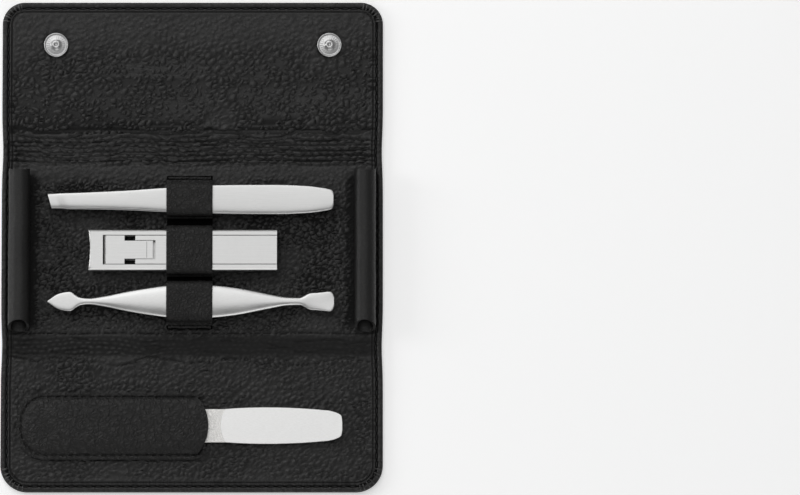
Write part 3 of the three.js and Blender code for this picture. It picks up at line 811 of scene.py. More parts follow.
# %% Make the outer leather
OUTER_INSET = 3 * MM
OUTER_PEBBLE = (3.4 * MM, 2.4 * MM)
OUTER_SPINE_PEBBLE = (3.2 * MM, 1.5 * MM)
SOCKET_HOLE = 3.5 * MM
BADGE_HALF = 4 * MM
OUTER_RINGS = [
    (2.72, 0.3, 0, 0.2), (2.5, 0.46, 0.5, 0.2), (2.3, 0.52, 1, 0.2), (2.1, 0.44, 0.5, 0.2),
    (1.85, 0.24, 0, 0.3), (1.5, 0.13, 0, 0.5), (1.1, 0.12, 0, 0.6), (0.75, 0.2, 0, 0.8),
    (0.4, 0.42, 0, 0.8), (0.14, 0.76, 0, 0.5), (0.02, 1.1, 0, 0.2), (0.03, 1.4, 0, 0.3),
    (0.18, 1.68, 0, 0.6), (0.42, 1.88, 0, 1), (0.75, 2.0, 0, 1), (1.1, 2.02, 0, 1),
    (1.4, 1.94, 0.1, 0.9), (1.6, 1.8, 0.5, 0.6), (1.74, 1.56, 1, 0.3), (1.84, 1.2, 0.5, 0.3),
    (2.05, 0.82, 0, 0),
]


def outer_face(x, y):
    """Height of the outer face above the table, and how deep in a valley, as painted shade."""
    edge = min(HALF_WIDTH - OUTER_INSET - abs(x), FAR_EDGE - OUTER_INSET - abs(y))
    share = spine_share(y)
    grain, gap = pebble(x, y, *OUTER_PEBBLE, 0.3, 21.0)
    if share > 0:
        scale, scale_gap = pebble(x, y, *OUTER_SPINE_PEBBLE, 0.0, 27.0)
        grain, gap = grain + share * (scale - grain), gap + share * (scale_gap - gap)
    height = 0.12 + 0.16 * bell(edge, 2.2 * MM) + 0.15 * share + (0.05 + 0.09 * share) * (1 - grain)
    for seed, crease in enumerate(CREASES):
        height += 0.2 * bell(y - crease - wander(x, seed * 2.3, 0.5 * MM), 0.8 * MM)
    for socket in SOCKETS:
        reach = (Vector((x, y)) - socket).length
        height += 0.3 * bell(max(0, reach - 4 * MM), 0.9 * MM)
        if reach < SOCKET_HOLE:
            height = 1.2
    aside = max(abs(x - BADGE.x), abs(y - BADGE.y)) - BADGE_HALF
    height += 0.32 * bell(max(0, aside), 0.8 * MM) + 0.03 * drift(x / (11 * MM), y / (8 * MM), 6.5)
    # Painted shade: the cracks between the spines' pebbles are darker.
    return max(0.02, height) * MM, 0.7 * share * gap


def outer_relief(x, y, pit, gather):
    """Stitch pits and gathers. On the underside a pit goes up into the leather."""
    sink = 0.2 - 0.6 * stitch_pit(x, y) if gather > 0.25 else 0.28 * stitch_pit(x, y)
    return (pit * sink + edge_gathers(x, y, 0.09) * gather) * MM


outer = make_skin(250, 330, outer_face, True, OUTER_INSET, OUTER_RINGS, outer_relief)
share_out(outer, "outer_leather", OUTER_LEATHER, [
    ["leather_flap", "leather_top_spine"], ["leather_back"], ["leather_bottom_spine"],
    ["leather_front"]])

# %% [markdown]
# At a round corner the turned edge has more leather than room, so it is gathered into pleats
# that point at the corner's centre. Each pleat is a squeezed sphere, half sunk in the edge,
# that droops towards its outer end. The pleats' leather is paler, a painted highlight on their
# ridges.

# %% Pleats at the corners
PLEATS = 7
PLEAT_HEIGHT = 1.96 * MM


def add_pleat(bm, centre, turn, length, width, high):
    """One pleat: a low ridge that points away from the corner's centre."""
    ridge = bmesh.ops.create_uvsphere(bm, u_segments=12, v_segments=8, radius=0.5)["verts"]
    for vertex in ridge:
        along, across, up = vertex.co
        drop = 0.5 * (along + 0.5) ** 4 * high
        x, y = along * length, across * width * (0.7 + 0.6 * (along + 0.5))
        vertex.co = Vector((centre.x + x * math.cos(turn) - y * math.sin(turn),
                            centre.y + x * math.sin(turn) + y * math.cos(turn),
                            centre.z + up * high - drop))


def corner_pleats(name, body):
    """The pleats of the two corners on one body."""
    bm = bmesh.new()
    for side_x, side_y, radius in CORNERS:
        if (side_y > 0) != (body == "flap"):
            continue
        middle = Vector((side_x * (HALF_WIDTH - radius), side_y * (FAR_EDGE - radius), 0))
        for step in range(PLEATS):
            jitter = drift(step * 3.7, side_x * 2.0, side_y * 5.0)
            turn = math.radians(4 + 82 * (step + 0.5 + 0.6 * jitter) / PLEATS)
            turn = math.atan2(side_y * math.sin(turn), side_x * math.cos(turn))
            reach = radius - (1.3 + 0.25 * jitter) * MM
            centre = middle + Vector((math.cos(turn), math.sin(turn), 0)) * reach
            centre.z = PLEAT_HEIGHT
            add_pleat(bm, centre, turn, (2.3 + 0.6 * jitter) * MM, (0.62 + 0.3 * jitter) * MM,
                      (0.7 + 0.3 * jitter) * MM)
    bmesh.ops.recalc_face_normals(bm, faces=bm.faces)
    shade(bm, 60)
    # Painted highlight: the pleats' leather is paler than the rest.
    pleats = to_piece(name, bm, PLEAT_HIGHLIGHT_LEATHER)
    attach(pleats, body)


corner_pleats("pleats_flap", "flap")
corner_pleats("pleats_front", "front")

# %% [markdown]
# ## Stitching
#
# A thread of black polyester holds the turned edge down. It shows on both faces as short
# dashes, each a little thicker in the middle where it stands out of the leather, and pulled
# down at its ends. One dash is a squeezed sphere with few faces, repeated along a path at a
# fixed pitch.

# %% Thread material and one stitch
def thread_material():
    """Twisted thread: fine slanted lines across a slightly shiny black."""
    material, tree, shader = blank_material("thread")
    twist = add_node(tree, "TexWave", {"Vector": object_place(tree), "Scale": 1500},
                     bands_direction="DIAGONAL").outputs["Fac"]
    feed(tree, shader, {
        "Base Color": ramp(tree, twist, (0.008, 0.008, 0.008), (0.022, 0.022, 0.021)),
        "Roughness": 0.5, "Normal": bump(tree, twist, 0.00003)})
    return material


THREAD = thread_material()


def add_stitch(bm, centre, direction, length, thick):
    """One dash of thread along a direction."""
    turn = Vector((1, 0, 0)).rotation_difference(direction).to_matrix().to_4x4()
    size = Matrix.Diagonal((length / 2, thick, thick, 1))
    made = bmesh.ops.create_uvsphere(
        bm, u_segments=8, v_segments=6, radius=1, matrix=Matrix.Rotation(math.pi / 2, 4, "Y"))
    bmesh.ops.transform(bm, matrix=Matrix.Translation(centre) @ turn @ size, verts=made["verts"])


def even_steps(points, pitch):
    """Places at an even pitch along a line of points, each with its direction."""
    steps, reach, wanted = [], 0.0, pitch / 2
    for start, end in zip(points, points[1:]):
        span = (end - start).length
        while span > 0 and wanted <= reach + span:
            steps.append((start.lerp(end, (wanted - reach) / span), (end - start).normalized()))
            wanted += pitch
        reach += span
    return steps


def seam_point(place, inset):
    """Point on the case's outline drawn in by inset, at a distance along the seam."""
    place %= SEAM_LENGTH
    corner = max(k for k in range(4) if CORNER_STARTS[k] <= place)
    side_x, side_y, radius = CORNERS[corner]
    centre = Vector((side_x * (HALF_WIDTH - radius), side_y * (FAR_EDGE - radius), 0))
    turn_length = (radius - SEAM_INSET) * QUARTER
    turn = min(1, (place - CORNER_STARTS[corner]) / turn_length) * QUARTER + corner * QUARTER
    away = Vector((math.cos(turn), math.sin(turn), 0))
    beyond = max(0, place - CORNER_STARTS[corner] - turn_length)
    return centre + away * (radius - inset) + Vector((-away.y, away.x, 0)) * beyond


def edge_stitches(name, inset, z):
    """A seam round the whole case, shared out between the stretches."""
    for place, (label, lower, upper, crease) in enumerate(STRETCHES):
        bm = bmesh.new()
        for number in range(int(SEAM_LENGTH / STITCH_PITCH)):
            reach = (number + 0.5) * STITCH_PITCH
            centre = seam_point(reach, inset)
            if MID_LINES[place + 1] < centre.y <= MID_LINES[place]:
                ahead = seam_point(reach + 0.4 * MM, inset) - seam_point(reach - 0.4 * MM, inset)
                centre.x = waist(centre.x, centre.y)
                centre.z = z
                add_stitch(bm, centre, ahead.normalized(), 1.9 * MM, 0.2 * MM)
        shade(bm)
        seam = to_piece(f"{name}_{label}", bm, THREAD)
        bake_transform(seam)


edge_stitches("inside_seam", SEAM_INSET, PANEL - 0.42 * MM)
edge_stitches("outside_seam", 2.3 * MM, 0.55 * MM)

# %% [markdown]
# ## Side rolls
#
# A strip of leather is rolled and sewn down along each short side, as a bumper that keeps the
# tools from sliding out. It is hollow, and its near end is cut at a slant, so that from above
# one looks a little way into it. A circle pulled along Y in many steps gives the tube, its
# section is shaped by a formula, and Solidify gives the wall.

# %% Side rolls
ROLL_WALL = 0.8 * MM
ROLL_STEPS = 120
SLANT_NEAR, SLANT_FAR = 3.1 * MM, 0.7 * MM


def make_roll(side):
    """One hollow roll, with soft dents along it."""
    low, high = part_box(f"side_roll_{side}")
    middle, half = (low + high) / 2, (high - low) / 2
    bm = bmesh.new()
    bmesh.ops.create_circle(bm, segments=56, radius=1, cap_ends=False)
    for vertex in bm.verts:
        vertex.co = Vector((vertex.co.x, 0, vertex.co.y))
    loop = bm.edges[:]
    for step in range(ROLL_STEPS):
        fresh, loop = next_ring(bm, loop)
        for vertex in fresh:
            vertex.co.y = (step + 1) / ROLL_STEPS
    for vertex in bm.verts:
        across, along, up = vertex.co
        place = Vector((along * 9, across * 0.8, up * 0.8 + middle.x * 50))
        soft = 1 + 0.035 * noise.noise(place) + 0.012 * noise.noise(place * 5.3)
        rise = up if up > 0 else up * (0.9 + 0.1 * abs(across))
        lean = -0.35 * MM * math.copysign(1, middle.x) * max(0, up) ** 2
        lean *= 0.6 + 0.4 * noise.noise(place * 0.4)
        near_end = low.y + SLANT_NEAR * max(0, (up + 0.85) / 1.85) ** 1.2
        far_end = high.y - SLANT_FAR * max(0, up)
        vertex.co = Vector((middle.x + across * half.x * min(1, soft - 0.02) + lean,
                            near_end + (far_end - near_end) * along,
                            middle.z + rise * half.z * min(1, soft)))
    bmesh.ops.recalc_face_normals(bm, faces=bm.faces)
    bmesh.ops.solidify(bm, geom=bm.faces[:], thickness=ROLL_WALL)
    bmesh.ops.recalc_face_normals(bm, faces=bm.faces)
    shade(bm, 50)
    roll = to_piece(f"roll_{side}", bm, ROLL_LEATHER)
    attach(roll, "back")
    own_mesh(roll)
    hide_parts(f"side_roll_{side}")


make_roll("left")
make_roll("right")

# %% [markdown]
# ## Strap
#
# A smoother strap runs down the middle of the back panel over a sewn base strip, and rises in
# a loop over each tool. A loop is a flat grid, bent along a path of straight feet and
# rounded shoulders, and solidified. Its own length along the path sets each vertex, so the
# leather keeps its width, and its long edges are bent down a little. Both ends of the strap
# are folded under and sewn down, which leaves a low ridge across the base strip.

# %% Bend a strip along a path
STRAP_THICK = 0.7 * MM
SHOULDER = 2.3 * MM
FOOT_BEND = 0.25 * MM
STRIP_STEP = 0.45 * MM


def strap_path(low, high, foot_low, foot_high, base, top):
    """Points (y, z) along the outer face of one loop, from foot to foot."""
    flat, lifted = base + STRAP_THICK, base + STRAP_THICK + 0.2 * MM
    points = [(low - foot_low, flat), (low - FOOT_BEND, flat), (low, lifted)]
    for start, centre_y in ((math.pi, low + SHOULDER), (QUARTER, high - SHOULDER)):
        for step in range(9):
            turn = start - step * math.pi / 16
            points.append((centre_y + SHOULDER * math.cos(turn),
                           top - SHOULDER + SHOULDER * math.sin(turn)))
    points += [(high, lifted), (high + FOOT_BEND, flat), (high + foot_high, flat)]
    return [Vector(point) for point in points]


def resample(points, spacing):
    """The same line with points at an even spacing."""
    lengths = [0.0]
    for start, end in zip(points, points[1:]):
        lengths.append(lengths[-1] + (end - start).length)
    count = max(2, round(lengths[-1] / spacing))
    even, segment = [], 0
    for step in range(count + 1):
        wanted = lengths[-1] * step / count
        while segment < len(points) - 2 and lengths[segment + 1] < wanted:
            segment += 1
        span = lengths[segment + 1] - lengths[segment]
        share = (wanted - lengths[segment]) / span if span else 0
        even.append(points[segment].lerp(points[segment + 1], min(1, share)))
    return even


def thicken(bm, thickness):
    """Gives a sheet that is seen from above its thickness and sharp or smooth edges."""
    bmesh.ops.recalc_face_normals(bm, faces=bm.faces)
    if sum(face.normal.z * face.calc_area() for face in bm.faces) < 0:
        bmesh.ops.reverse_faces(bm, faces=bm.faces)
    bmesh.ops.solidify(bm, geom=bm.faces[:], thickness=thickness)
    bmesh.ops.remove_doubles(bm, verts=bm.verts, dist=0.00001)
    bmesh.ops.recalc_face_normals(bm, faces=bm.faces)
    shade(bm, 50)


def bent_strip(path, left, right, thickness, crown, seed, columns):
    """A strip of leather that follows a (y, z) path and is as wide as left to right."""
    line = resample(path, STRIP_STEP)
    bm = bmesh.new()
    bmesh.ops.create_grid(bm, x_segments=columns, y_segments=len(line) - 1, size=1)
    for vertex in bm.verts:
        place = round((vertex.co.y + 1) / 2 * (len(line) - 1))
        ahead = line[min(place + 1, len(line) - 1)] - line[max(place - 1, 0)]
        share = vertex.co.x
        across = (left + right) / 2 + share * (right - left) / 2
        sag = 0.09 * MM * drift(across / (4 * MM), place * 0.16, seed) - crown * share * share
        edge_round = -0.16 * MM * max(0, (abs(share) - 0.93) / 0.07) ** 2
        spot = line[place] + Vector((-ahead.y, ahead.x)).normalized() * (sag + edge_round)
        vertex.co = Vector((across, spot.x, spot.y))
    thicken(bm, thickness)
    return bm


print("strap", STRAP_THICK / MM, "mm thick")

# %% Strap
STRAP_LOW, STRAP_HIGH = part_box("strap_base")
STRAP_MIDDLE = (STRAP_LOW.x + STRAP_HIGH.x) / 2
END_WIDTH = 13.4 * MM


def make_loop(tool, low, high, foot_low, foot_high, seed):
    """The strap's loop over one tool, between its low and high sides."""
    node_low, node_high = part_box(f"strap_{tool}_loop")
    base = STRAP_HIGH.z
    path = strap_path(low * MM, high * MM, foot_low * MM, foot_high * MM, base, node_high.z)
    bm = bent_strip(path, node_low.x, node_high.x, STRAP_THICK, 0.12 * MM, seed, 28)
    loop = to_piece(f"strap_loop_{tool}", bm, STRAP_LEATHER)
    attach(loop, "back")
    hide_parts(f"strap_{tool}_loop")
    if tool == "clipper":
        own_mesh(loop)


def make_strap_base():
    """The flat strip that the loops are sewn to, near black as painted shade between the loops."""
    path = [Vector((STRAP_LOW.y, STRAP_HIGH.z)), Vector((STRAP_HIGH.y, STRAP_HIGH.z))]
    bm = bent_strip(path, STRAP_LOW.x + 0.5 * MM, STRAP_HIGH.x - 0.5 * MM,
                    STRAP_HIGH.z - STRAP_LOW.z, 0.05 * MM, 7.0, 32)
    base = to_piece("strap_strip", bm, GAP_SHADE_LEATHER)
    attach(base, "back")
    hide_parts("strap_base")


def make_strap_end(name, y):
    """The folded end of the strap, sewn down across the base strip as a low ridge."""
    bm = bmesh.new()
    bmesh.ops.create_cone(bm, cap_ends=True, segments=20, radius1=1, radius2=1, depth=1)
    cuts = [edge for edge in bm.edges if abs(edge.verts[0].co.z - edge.verts[1].co.z) > 0.5]
    bmesh.ops.subdivide_edges(bm, edges=cuts, cuts=30)
    for vertex in bm.verts:
        across, up, along = vertex.co
        wave = drift(along * 4, y * 90, 5.0)
        vertex.co = Vector((STRAP_MIDDLE + along * END_WIDTH, y + (across * 0.5 + 0.25 * wave) * MM,
                            STRAP_HIGH.z + (0.12 + up * (0.42 + 0.08 * wave)) * MM))
    bmesh.ops.recalc_face_normals(bm, faces=bm.faces)
    shade(bm, 50)
    ridge = to_piece(name, bm, STRAP_LEATHER)
    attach(ridge, "back")


make_strap_base()
make_loop("tweezer", 9.2, 19.9, 0.5, 1.1, 1.0)
make_loop("clipper", -9.4, 6.0, 0.4, 0.5, 2.0)
make_loop("pusher", -24.3, -11.5, 0.9, 0.4, 3.0)
make_strap_end("strap_end_far", 21.6 * MM)
make_strap_end("strap_end_near", -25.6 * MM)

# %% [markdown]
# ## Pocket
#
# The file's pocket is one piece of leather, moulded up over the file and flat round the edge,
# where a row of stitches holds it down on three sides. Its left end is round and its mouth
# swells out towards the handle. A grid is mapped onto this outline, row by row, and the
# moulding is a height that depends on the distance from the middle.

# %% Shape of the pocket
POCKET_FLANGE = 0.7 * MM
POCKET_LOW, POCKET_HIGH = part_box("file_pocket")
POCKET_Y = (POCKET_LOW.y + POCKET_HIGH.y) / 2
POCKET_HALF = (POCKET_HIGH.y - POCKET_LOW.y) / 2
HEM = 1.55 * MM
SEAM_HALF = POCKET_HALF - HEM
ROUND_END = 9 * MM
SQUARENESS = 2.2


def pocket_side(y):
    """Left and right ends of the pocket at one distance from its middle line."""
    share = min(1, abs(y) / POCKET_HALF)
    left = POCKET_LOW.x + ROUND_END * (1 - math.sqrt(max(0, 1 - share ** 2.4)))
    mouth = POCKET_HIGH.x - 0.2 * MM - 3.5 * MM * min(1, abs(y) / SEAM_HALF) ** 2.3
    flange = soft_ramp(abs(y), SEAM_HALF - 0.1 * MM, SEAM_HALF + 0.2 * MM)
    corner = 2.6 * MM * soft_ramp(abs(y), SEAM_HALF + 0.2 * MM, POCKET_HALF) ** 2
    return left, mouth + flange * 1.9 * MM - corner


def seam_share(x, y):
    """0 on the pocket's middle line, 1 on its seam and more than 1 outside it."""
    end = max(0, (POCKET_LOW.x + ROUND_END - x) / (ROUND_END - HEM))
    return (end ** SQUARENESS + (abs(y) / SEAM_HALF) ** SQUARENESS) ** (1 / SQUARENESS)


def seam_line():
    """Points along the seam, from the mouth round the left end and back, at an even pitch."""
    start_x = POCKET_HIGH.x - 4.2 * MM
    turn_x = POCKET_LOW.x + ROUND_END
    line = [Vector((start_x, SEAM_HALF, 0))]
    for step in range(61):
        turn = QUARTER + math.pi * step / 60
        across = math.copysign(abs(math.sin(turn)) ** (2 / SQUARENESS), math.sin(turn))
        back = abs(math.cos(turn)) ** (2 / SQUARENESS)
        line.append(Vector((turn_x - back * (ROUND_END - HEM), across * SEAM_HALF, 0)))
    line.append(Vector((start_x, -SEAM_HALF, 0)))
    return even_steps(line, 2.6 * MM)


POCKET_STITCHES = seam_line()


def pocket_rise(x, y):
    """Height of the pocket's outer face above the lining."""
    share = seam_share(x, y)
    top = POCKET_HIGH.z - PANEL - POCKET_FLANGE - 0.1 * MM
    end_drop = 0.62 + 0.38 * soft_ramp(x, POCKET_LOW.x + 5 * MM, POCKET_LOW.x + 17 * MM)
    rise = (1 - min(1, share) ** 3.4) ** 0.75 * end_drop
    ripple = 0.05 * MM * drift(x / (9 * MM), y / (5 * MM), 3.0)
    nearest = min((Vector((x, y, 0)) - centre).length for centre, _ in POCKET_STITCHES)
    groove = bell((share - 1) * SEAM_HALF, 0.4 * MM) * (0.2 + 0.4 * bell(nearest, 0.75 * MM))
    edge = 0.25 * MM * soft_ramp(abs(y), POCKET_HALF - 0.35 * MM, POCKET_HALF)
    return POCKET_FLANGE + rise * (top + ripple) - groove * MM - edge


print("pocket seam", len(POCKET_STITCHES), "stitches")

# %% Make the pocket and its seam
def make_pocket():
    """The moulded pocket, with a wall that leaves room for the file."""
    bm = bmesh.new()
    bmesh.ops.create_grid(bm, x_segments=190, y_segments=90, size=1)
    for vertex in bm.verts:
        y = math.sin(vertex.co.y * QUARTER) * POCKET_HALF
        left, mouth = pocket_side(y)
        x = left + (mouth - left) * (vertex.co.x + 1) / 2
        vertex.co = Vector((x, POCKET_Y + y, PANEL + pocket_rise(x, y)))
    thicken(bm, POCKET_FLANGE * 0.95)
    pocket = to_piece("pocket_leather", bm, POCKET_LEATHER)
    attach(pocket, "front")
    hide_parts("file_pocket")


def pocket_seam():
    """Stitches round three sides of the pocket."""
    bm = bmesh.new()
    for centre, direction in POCKET_STITCHES:
        z = PANEL + pocket_rise(centre.x, centre.y) + 0.05 * MM
        add_stitch(bm, Vector((centre.x, POCKET_Y + centre.y, z)), direction, 1.7 * MM, 0.2 * MM)
    shade(bm)
    seam = to_piece("pocket_seam", bm, THREAD)
    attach(seam, "front")


make_pocket()
pocket_seam()

# %% [markdown]
# ## Brushed and satin steel
#
# The tools are stamped or forged from stainless steel and finished in two ways. Brushed
# faces carry fine parallel lines along the tool: noise stretched about a hundred times along
# X gives the lines, in the roughness and in a very shallow bump. Satin faces are blasted, so
# their noise is stretched only a little. One node group makes both, from how far it is told
# to stretch.

# %% Steel materials
def brushing_group():
    """Fine and coarse lines of a brushed surface, from Object coordinates."""
    group, given, result = new_group("brushing", {"Lines per metre": 9000, "Stretch": 120},
                                     ("Lines", "Clouds"))
    place = object_place(group)
    x, y, z = add_node(group, "SeparateXYZ", {0: place}).outputs
    shrunk = math_node(group, "DIVIDE", x, given.outputs["Stretch"])
    drawn = add_node(group, "CombineXYZ", {"X": shrunk, "Y": y, "Z": z}).outputs[0]
    lines = noise_texture(group, drawn, given.outputs["Lines per metre"], 3)
    clouds = noise_texture(group, place, 140, 3)
    feed(group, result, {"Lines": smooth_step(group, lines.outputs["Fac"], 0.3, 0.7),
                         "Clouds": smooth_step(group, clouds.outputs["Fac"], 0.35, 0.65)})
    return group


BRUSHING = brushing_group()


def steel(name, stretch, rough, relief, colours, lines):
    """A stainless steel finish. rough is the range of roughness, from line to line."""
    material, tree, shader = blank_material(name)
    finish = add_node(tree, "Group", {"Lines per metre": lines, "Stretch": stretch},
                      node_tree=BRUSHING).outputs
    mixed = math_node(tree, "ADD", math_node(tree, "MULTIPLY", finish["Lines"], 0.6),
                      math_node(tree, "MULTIPLY", finish["Clouds"], 0.4))
    feed(tree, shader, {
        "Metallic": 1, "Base Color": ramp(tree, mixed, *colours),
        "Roughness": spread(tree, mixed, *rough), "Normal": bump(tree, finish["Lines"], relief)})
    return material


BRUSHED = steel("brushed_steel", 120, (0.27, 0.4), 0.0000015,
                ((0.56, 0.56, 0.555), (0.66, 0.66, 0.655)), 9000)
SATIN = steel("satin_steel", 6, (0.34, 0.46), 0.0000012,
              ((0.76, 0.76, 0.75), (0.88, 0.88, 0.875)), 6000)
FORGED = steel("forged_steel", 9, (0.3, 0.42), 0.0000012,
               ((0.6, 0.6, 0.595), (0.7, 0.7, 0.695)), 7000)
POLISHED = steel("polished_plating", 1, (0.3, 0.4), 0.0000003,
                 ((0.52, 0.52, 0.52), (0.62, 0.62, 0.62)), 2500)
# A dark steel for painted shade: it stands for the shade in the clipper's bend groove.
GROOVE_SHADE_STEEL = steel("groove_shade_steel", 6, (0.4, 0.5), 0.000001, ((0.2, 0.2, 0.2), (0.3, 0.3, 0.3)), 6000)
print("steels", [finish.name for finish in (BRUSHED, SATIN, FORGED, POLISHED, GROOVE_SHADE_STEEL)])

# %% [markdown]
# ## Tools made finer
#
# The tweezers' arms and the cuticle tool have sections that change along their length. Each
# is drawn here again on the solid's own measures with many more rings: a circle of vertices
# is pulled along X, and each ring is shaped by functions for half width and thickness that
# pass smoothly through a few listed places.

# %% Rings along a tool
def smooth_curve(pairs):
    """A function through (place, value) pairs, in millimetres, with smooth slopes."""
    places, values = zip(*pairs)
    steep = [(after[1] - before[1]) / (after[0] - before[0])
             for before, after in zip(pairs, pairs[1:])]
    slopes = [steep[0]]
    for before, after in zip(steep, steep[1:]):
        slopes.append(2 * before * after / (before + after) if before * after > 0 else 0)
    slopes.append(steep[-1])

    def value_at(place):
        if place <= places[0]:
            return values[0]
        if place >= places[-1]:
            return values[-1]
        k = max(i for i in range(len(places) - 1) if places[i] <= place)
        span = places[k + 1] - places[k]
        t = (place - places[k]) / span
        return ((2 * t ** 3 - 3 * t ** 2 + 1) * values[k]
                + (t ** 3 - 2 * t ** 2 + t) * span * slopes[k]
                + (3 * t ** 2 - 2 * t ** 3) * values[k + 1]
                + (t ** 3 - t ** 2) * span * slopes[k + 1])

    return value_at


def lofted(start, end, count, around, ring_point):
    """A closed body along X, with its rings closer together near both ends.

    ring_point(station, turn) gives each point in millimetres."""
    bm = bmesh.new()
    bmesh.ops.create_circle(bm, segments=around, radius=1, cap_ends=False)
    first_loop = loop = bm.edges[:]
    ring = {vertex: 2 * math.pi * k / around for k, vertex in enumerate(bm.verts)}
    for step in range(count + 1):
        if step > 0:
            fresh, loop = next_ring(bm, loop)
            ring = {vertex: next(ring[edge.other_vert(vertex)] for edge in vertex.link_edges
                                 if edge.other_vert(vertex) not in fresh) for vertex in fresh}
        station = start + (end - start) * (1 - math.cos(math.pi * step / count)) / 2
        for vertex, turn in ring.items():
            vertex.co = Vector(ring_point(station, turn)) * MM
    for rim in (first_loop, loop):
        bmesh.ops.edgeloop_fill(bm, edges=rim)
    bmesh.ops.recalc_face_normals(bm, faces=bm.faces)
    return bm


def superellipse(turn, half_y, half_z, power):
    """A point of a rounded box section. power 2 is an ellipse, more is squarer."""
    c, s = math.cos(turn), math.sin(turn)
    y = math.copysign(abs(c) ** (2 / power), c) * half_y
    z = math.copysign(abs(s) ** (2 / power), s) * half_z
    return y, z


print("a ring's first point", superellipse(0, 1, 1, 5))

# %% Tweezers
TWEEZER_ARM = 0.8
TWEEZER_TIP, TWEEZER_END = -44.8, 44.4
TIP_OFFSET = 0.6
tweezer_middle = (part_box("tweezer_upper_arm")[1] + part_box("tweezer_lower_arm")[0]) / 2 / MM
tweezer_half = smooth_curve([
    (-46, 2.2), (-36.5, 2.35), (-28.4, 2.6), (-20.4, 2.9), (-12.4, 3.4), (-8, 3.65), (6.4, 4.31),
    (16, 4.5), (26, 4.55), (36, 4.2), (41, 3.6), (43.5, 3.1), (44.1, 2.8), (44.4, 2.2)])
tweezer_spread = smooth_curve([
    (-46, 1.82), (-34, 1.9), (-22, 1.88), (-8, 1.68), (6, 1.45), (18, 1.2), (30, 1.02), (45, 1)])


def tweezer_arm(side):
    """One arm. The section is a flat plate with rounded edges, crowned on its outer face."""
    def point(x, turn):
        half = tweezer_half(x)
        y, z = superellipse(turn, half, TWEEZER_ARM / 2, 5)
        crown = 0.16 * (1 - (y / half) ** 2)
        slant = 0.29 * max(0, (-36 - x) / 9)
        blade = max(0, min(1, (-39.5 - x - 0.25 * y) / 3))
        outer_cut = 0.34 * blade if z > 0 else 0
        height = tweezer_spread(x) - TWEEZER_ARM / 2 + z - (0.16 - crown) * (z > 0) - outer_cut
        centre = tweezer_middle.y - TIP_OFFSET * max(0, (5 - x) / 50)
        return x - slant * y, centre + y, tweezer_middle.z + side * height

    bm = lofted(TWEEZER_TIP, TWEEZER_END, 90, 40, point)
    name = "upper" if side > 0 else "lower"
    shade(bm, 35)
    arm = to_piece(f"tweezer_{name}", bm, BRUSHED)
    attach(arm, "tweezer_arm" if side > 0 else "tweezers")
    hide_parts(f"tweezer_{name}_arm")


tweezer_arm(1)
tweezer_arm(-1)

# %% Cuticle tool
PUSHER_TIP, PUSHER_END = -45.3, 44.6
pusher_middle = middle_of("cuticle_pusher") / MM
pusher_half = smooth_curve([
    (-45.4, 0.12), (-43.7, 1.35), (-42.5, 2.15), (-40.5, 2.8), (-38.3, 3.05), (-37.5, 2.75),
    (-36.5, 2), (-34.9, 1.2), (-32.5, 0.97), (-28.4, 1.5), (-20.4, 3.15), (-12.4, 4.46),
    (-6, 5.2), (0, 5.35), (6.4, 5.15), (13.8, 4.35), (21.9, 2.8), (25.9, 2), (29.9, 1.32),
    (33.9, 1.16), (35.2, 1.7), (37.1, 2.6), (39.9, 2.8), (43.4, 3.1), (44.2, 2.6), (44.6, 1.7)])
pusher_thick = smooth_curve([
    (-45.4, 0.15), (-42, 0.35), (-38, 0.45), (-34.5, 0.7), (-28, 0.95), (-15, 1.25), (0, 1.4),
    (15, 1.25), (28, 0.95), (34, 0.75), (38, 0.5), (44.6, 0.3)])
pusher_square = smooth_curve([
    (-45.4, 3.0), (-38, 3.2), (-34, 2.3), (-20, 2.1), (0, 2.0), (20, 2.1), (34, 2.3), (44.6, 3.4)])


def make_pusher():
    """One forging: leaf-shaped cleaner, thick spindle and curved spade."""
    def point(x, turn):
        y, z = superellipse(turn, pusher_half(x), pusher_thick(x), pusher_square(x))
        scoop = 0.35 * max(0, (x - 35.5) / 9) * (1 - (y / 3.1) ** 2)
        return x, pusher_middle.y + y, pusher_middle.z + z - scoop * 0.6

    bm = lofted(PUSHER_TIP, PUSHER_END, 130, 48, point)
    shade(bm, 40)
    pusher = to_piece("cuticle_tool", bm, FORGED)
    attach(pusher, "pusher")
    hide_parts("cuticle_pusher")


make_pusher()

# %% [markdown]
# ## Snaps
#
# A snap's stud is stamped from thin plate: a rolled rim, a sunken floor with small ribs that
# point at the middle, and a boss that is pushed through the socket. It is turned from a
# profile, and the ribs are a wave added to the floor's height. The socket on the front panel
# is a ring with two spring wires across its opening.

# %% Turned parts
RIBS = 24
WIRE_PLACE, WIRE_RADIUS, WIRE_LENGTH = 1.64 * MM, 0.14 * MM, 3.9 * MM
STUD_PROFILE = [
    (0, 0.02), (3.5, 0.02), (3.72, 0.06), (3.82, 0.18), (3.84, 0.36), (3.8, 0.5), (3.7, 0.58),
    (3.58, 0.58), (3.48, 0.5), (3.4, 0.34), (3.3, 0.2), (3.15, 0.14), (2.9, 0.18), (2.6, 0.24),
    (2.3, 0.31), (2.0, 0.38), (1.8, 0.44), (1.62, 0.54), (1.48, 0.72), (1.4, 0.95), (1.35, 1.2),
    (1.26, 1.42), (1.12, 1.54), (0.95, 1.59), (0.78, 1.6), (0.64, 1.56), (0.52, 1.42), (0.44, 1.2),
    (0.34, 1.04), (0.2, 0.98), (0, 0.97),
]
SOCKET_PROFILE = [
    (0, 1.0), (2.1, 1.0), (2.2, 0.9), (2.22, 0.45), (2.3, 0.2), (2.5, 0.08), (2.8, 0.05),
    (3.3, 0.05), (3.65, 0.08), (3.85, 0.18), (3.96, 0.34), (3.98, 0.6), (3.98, 1.28), (0, 1.28),
]


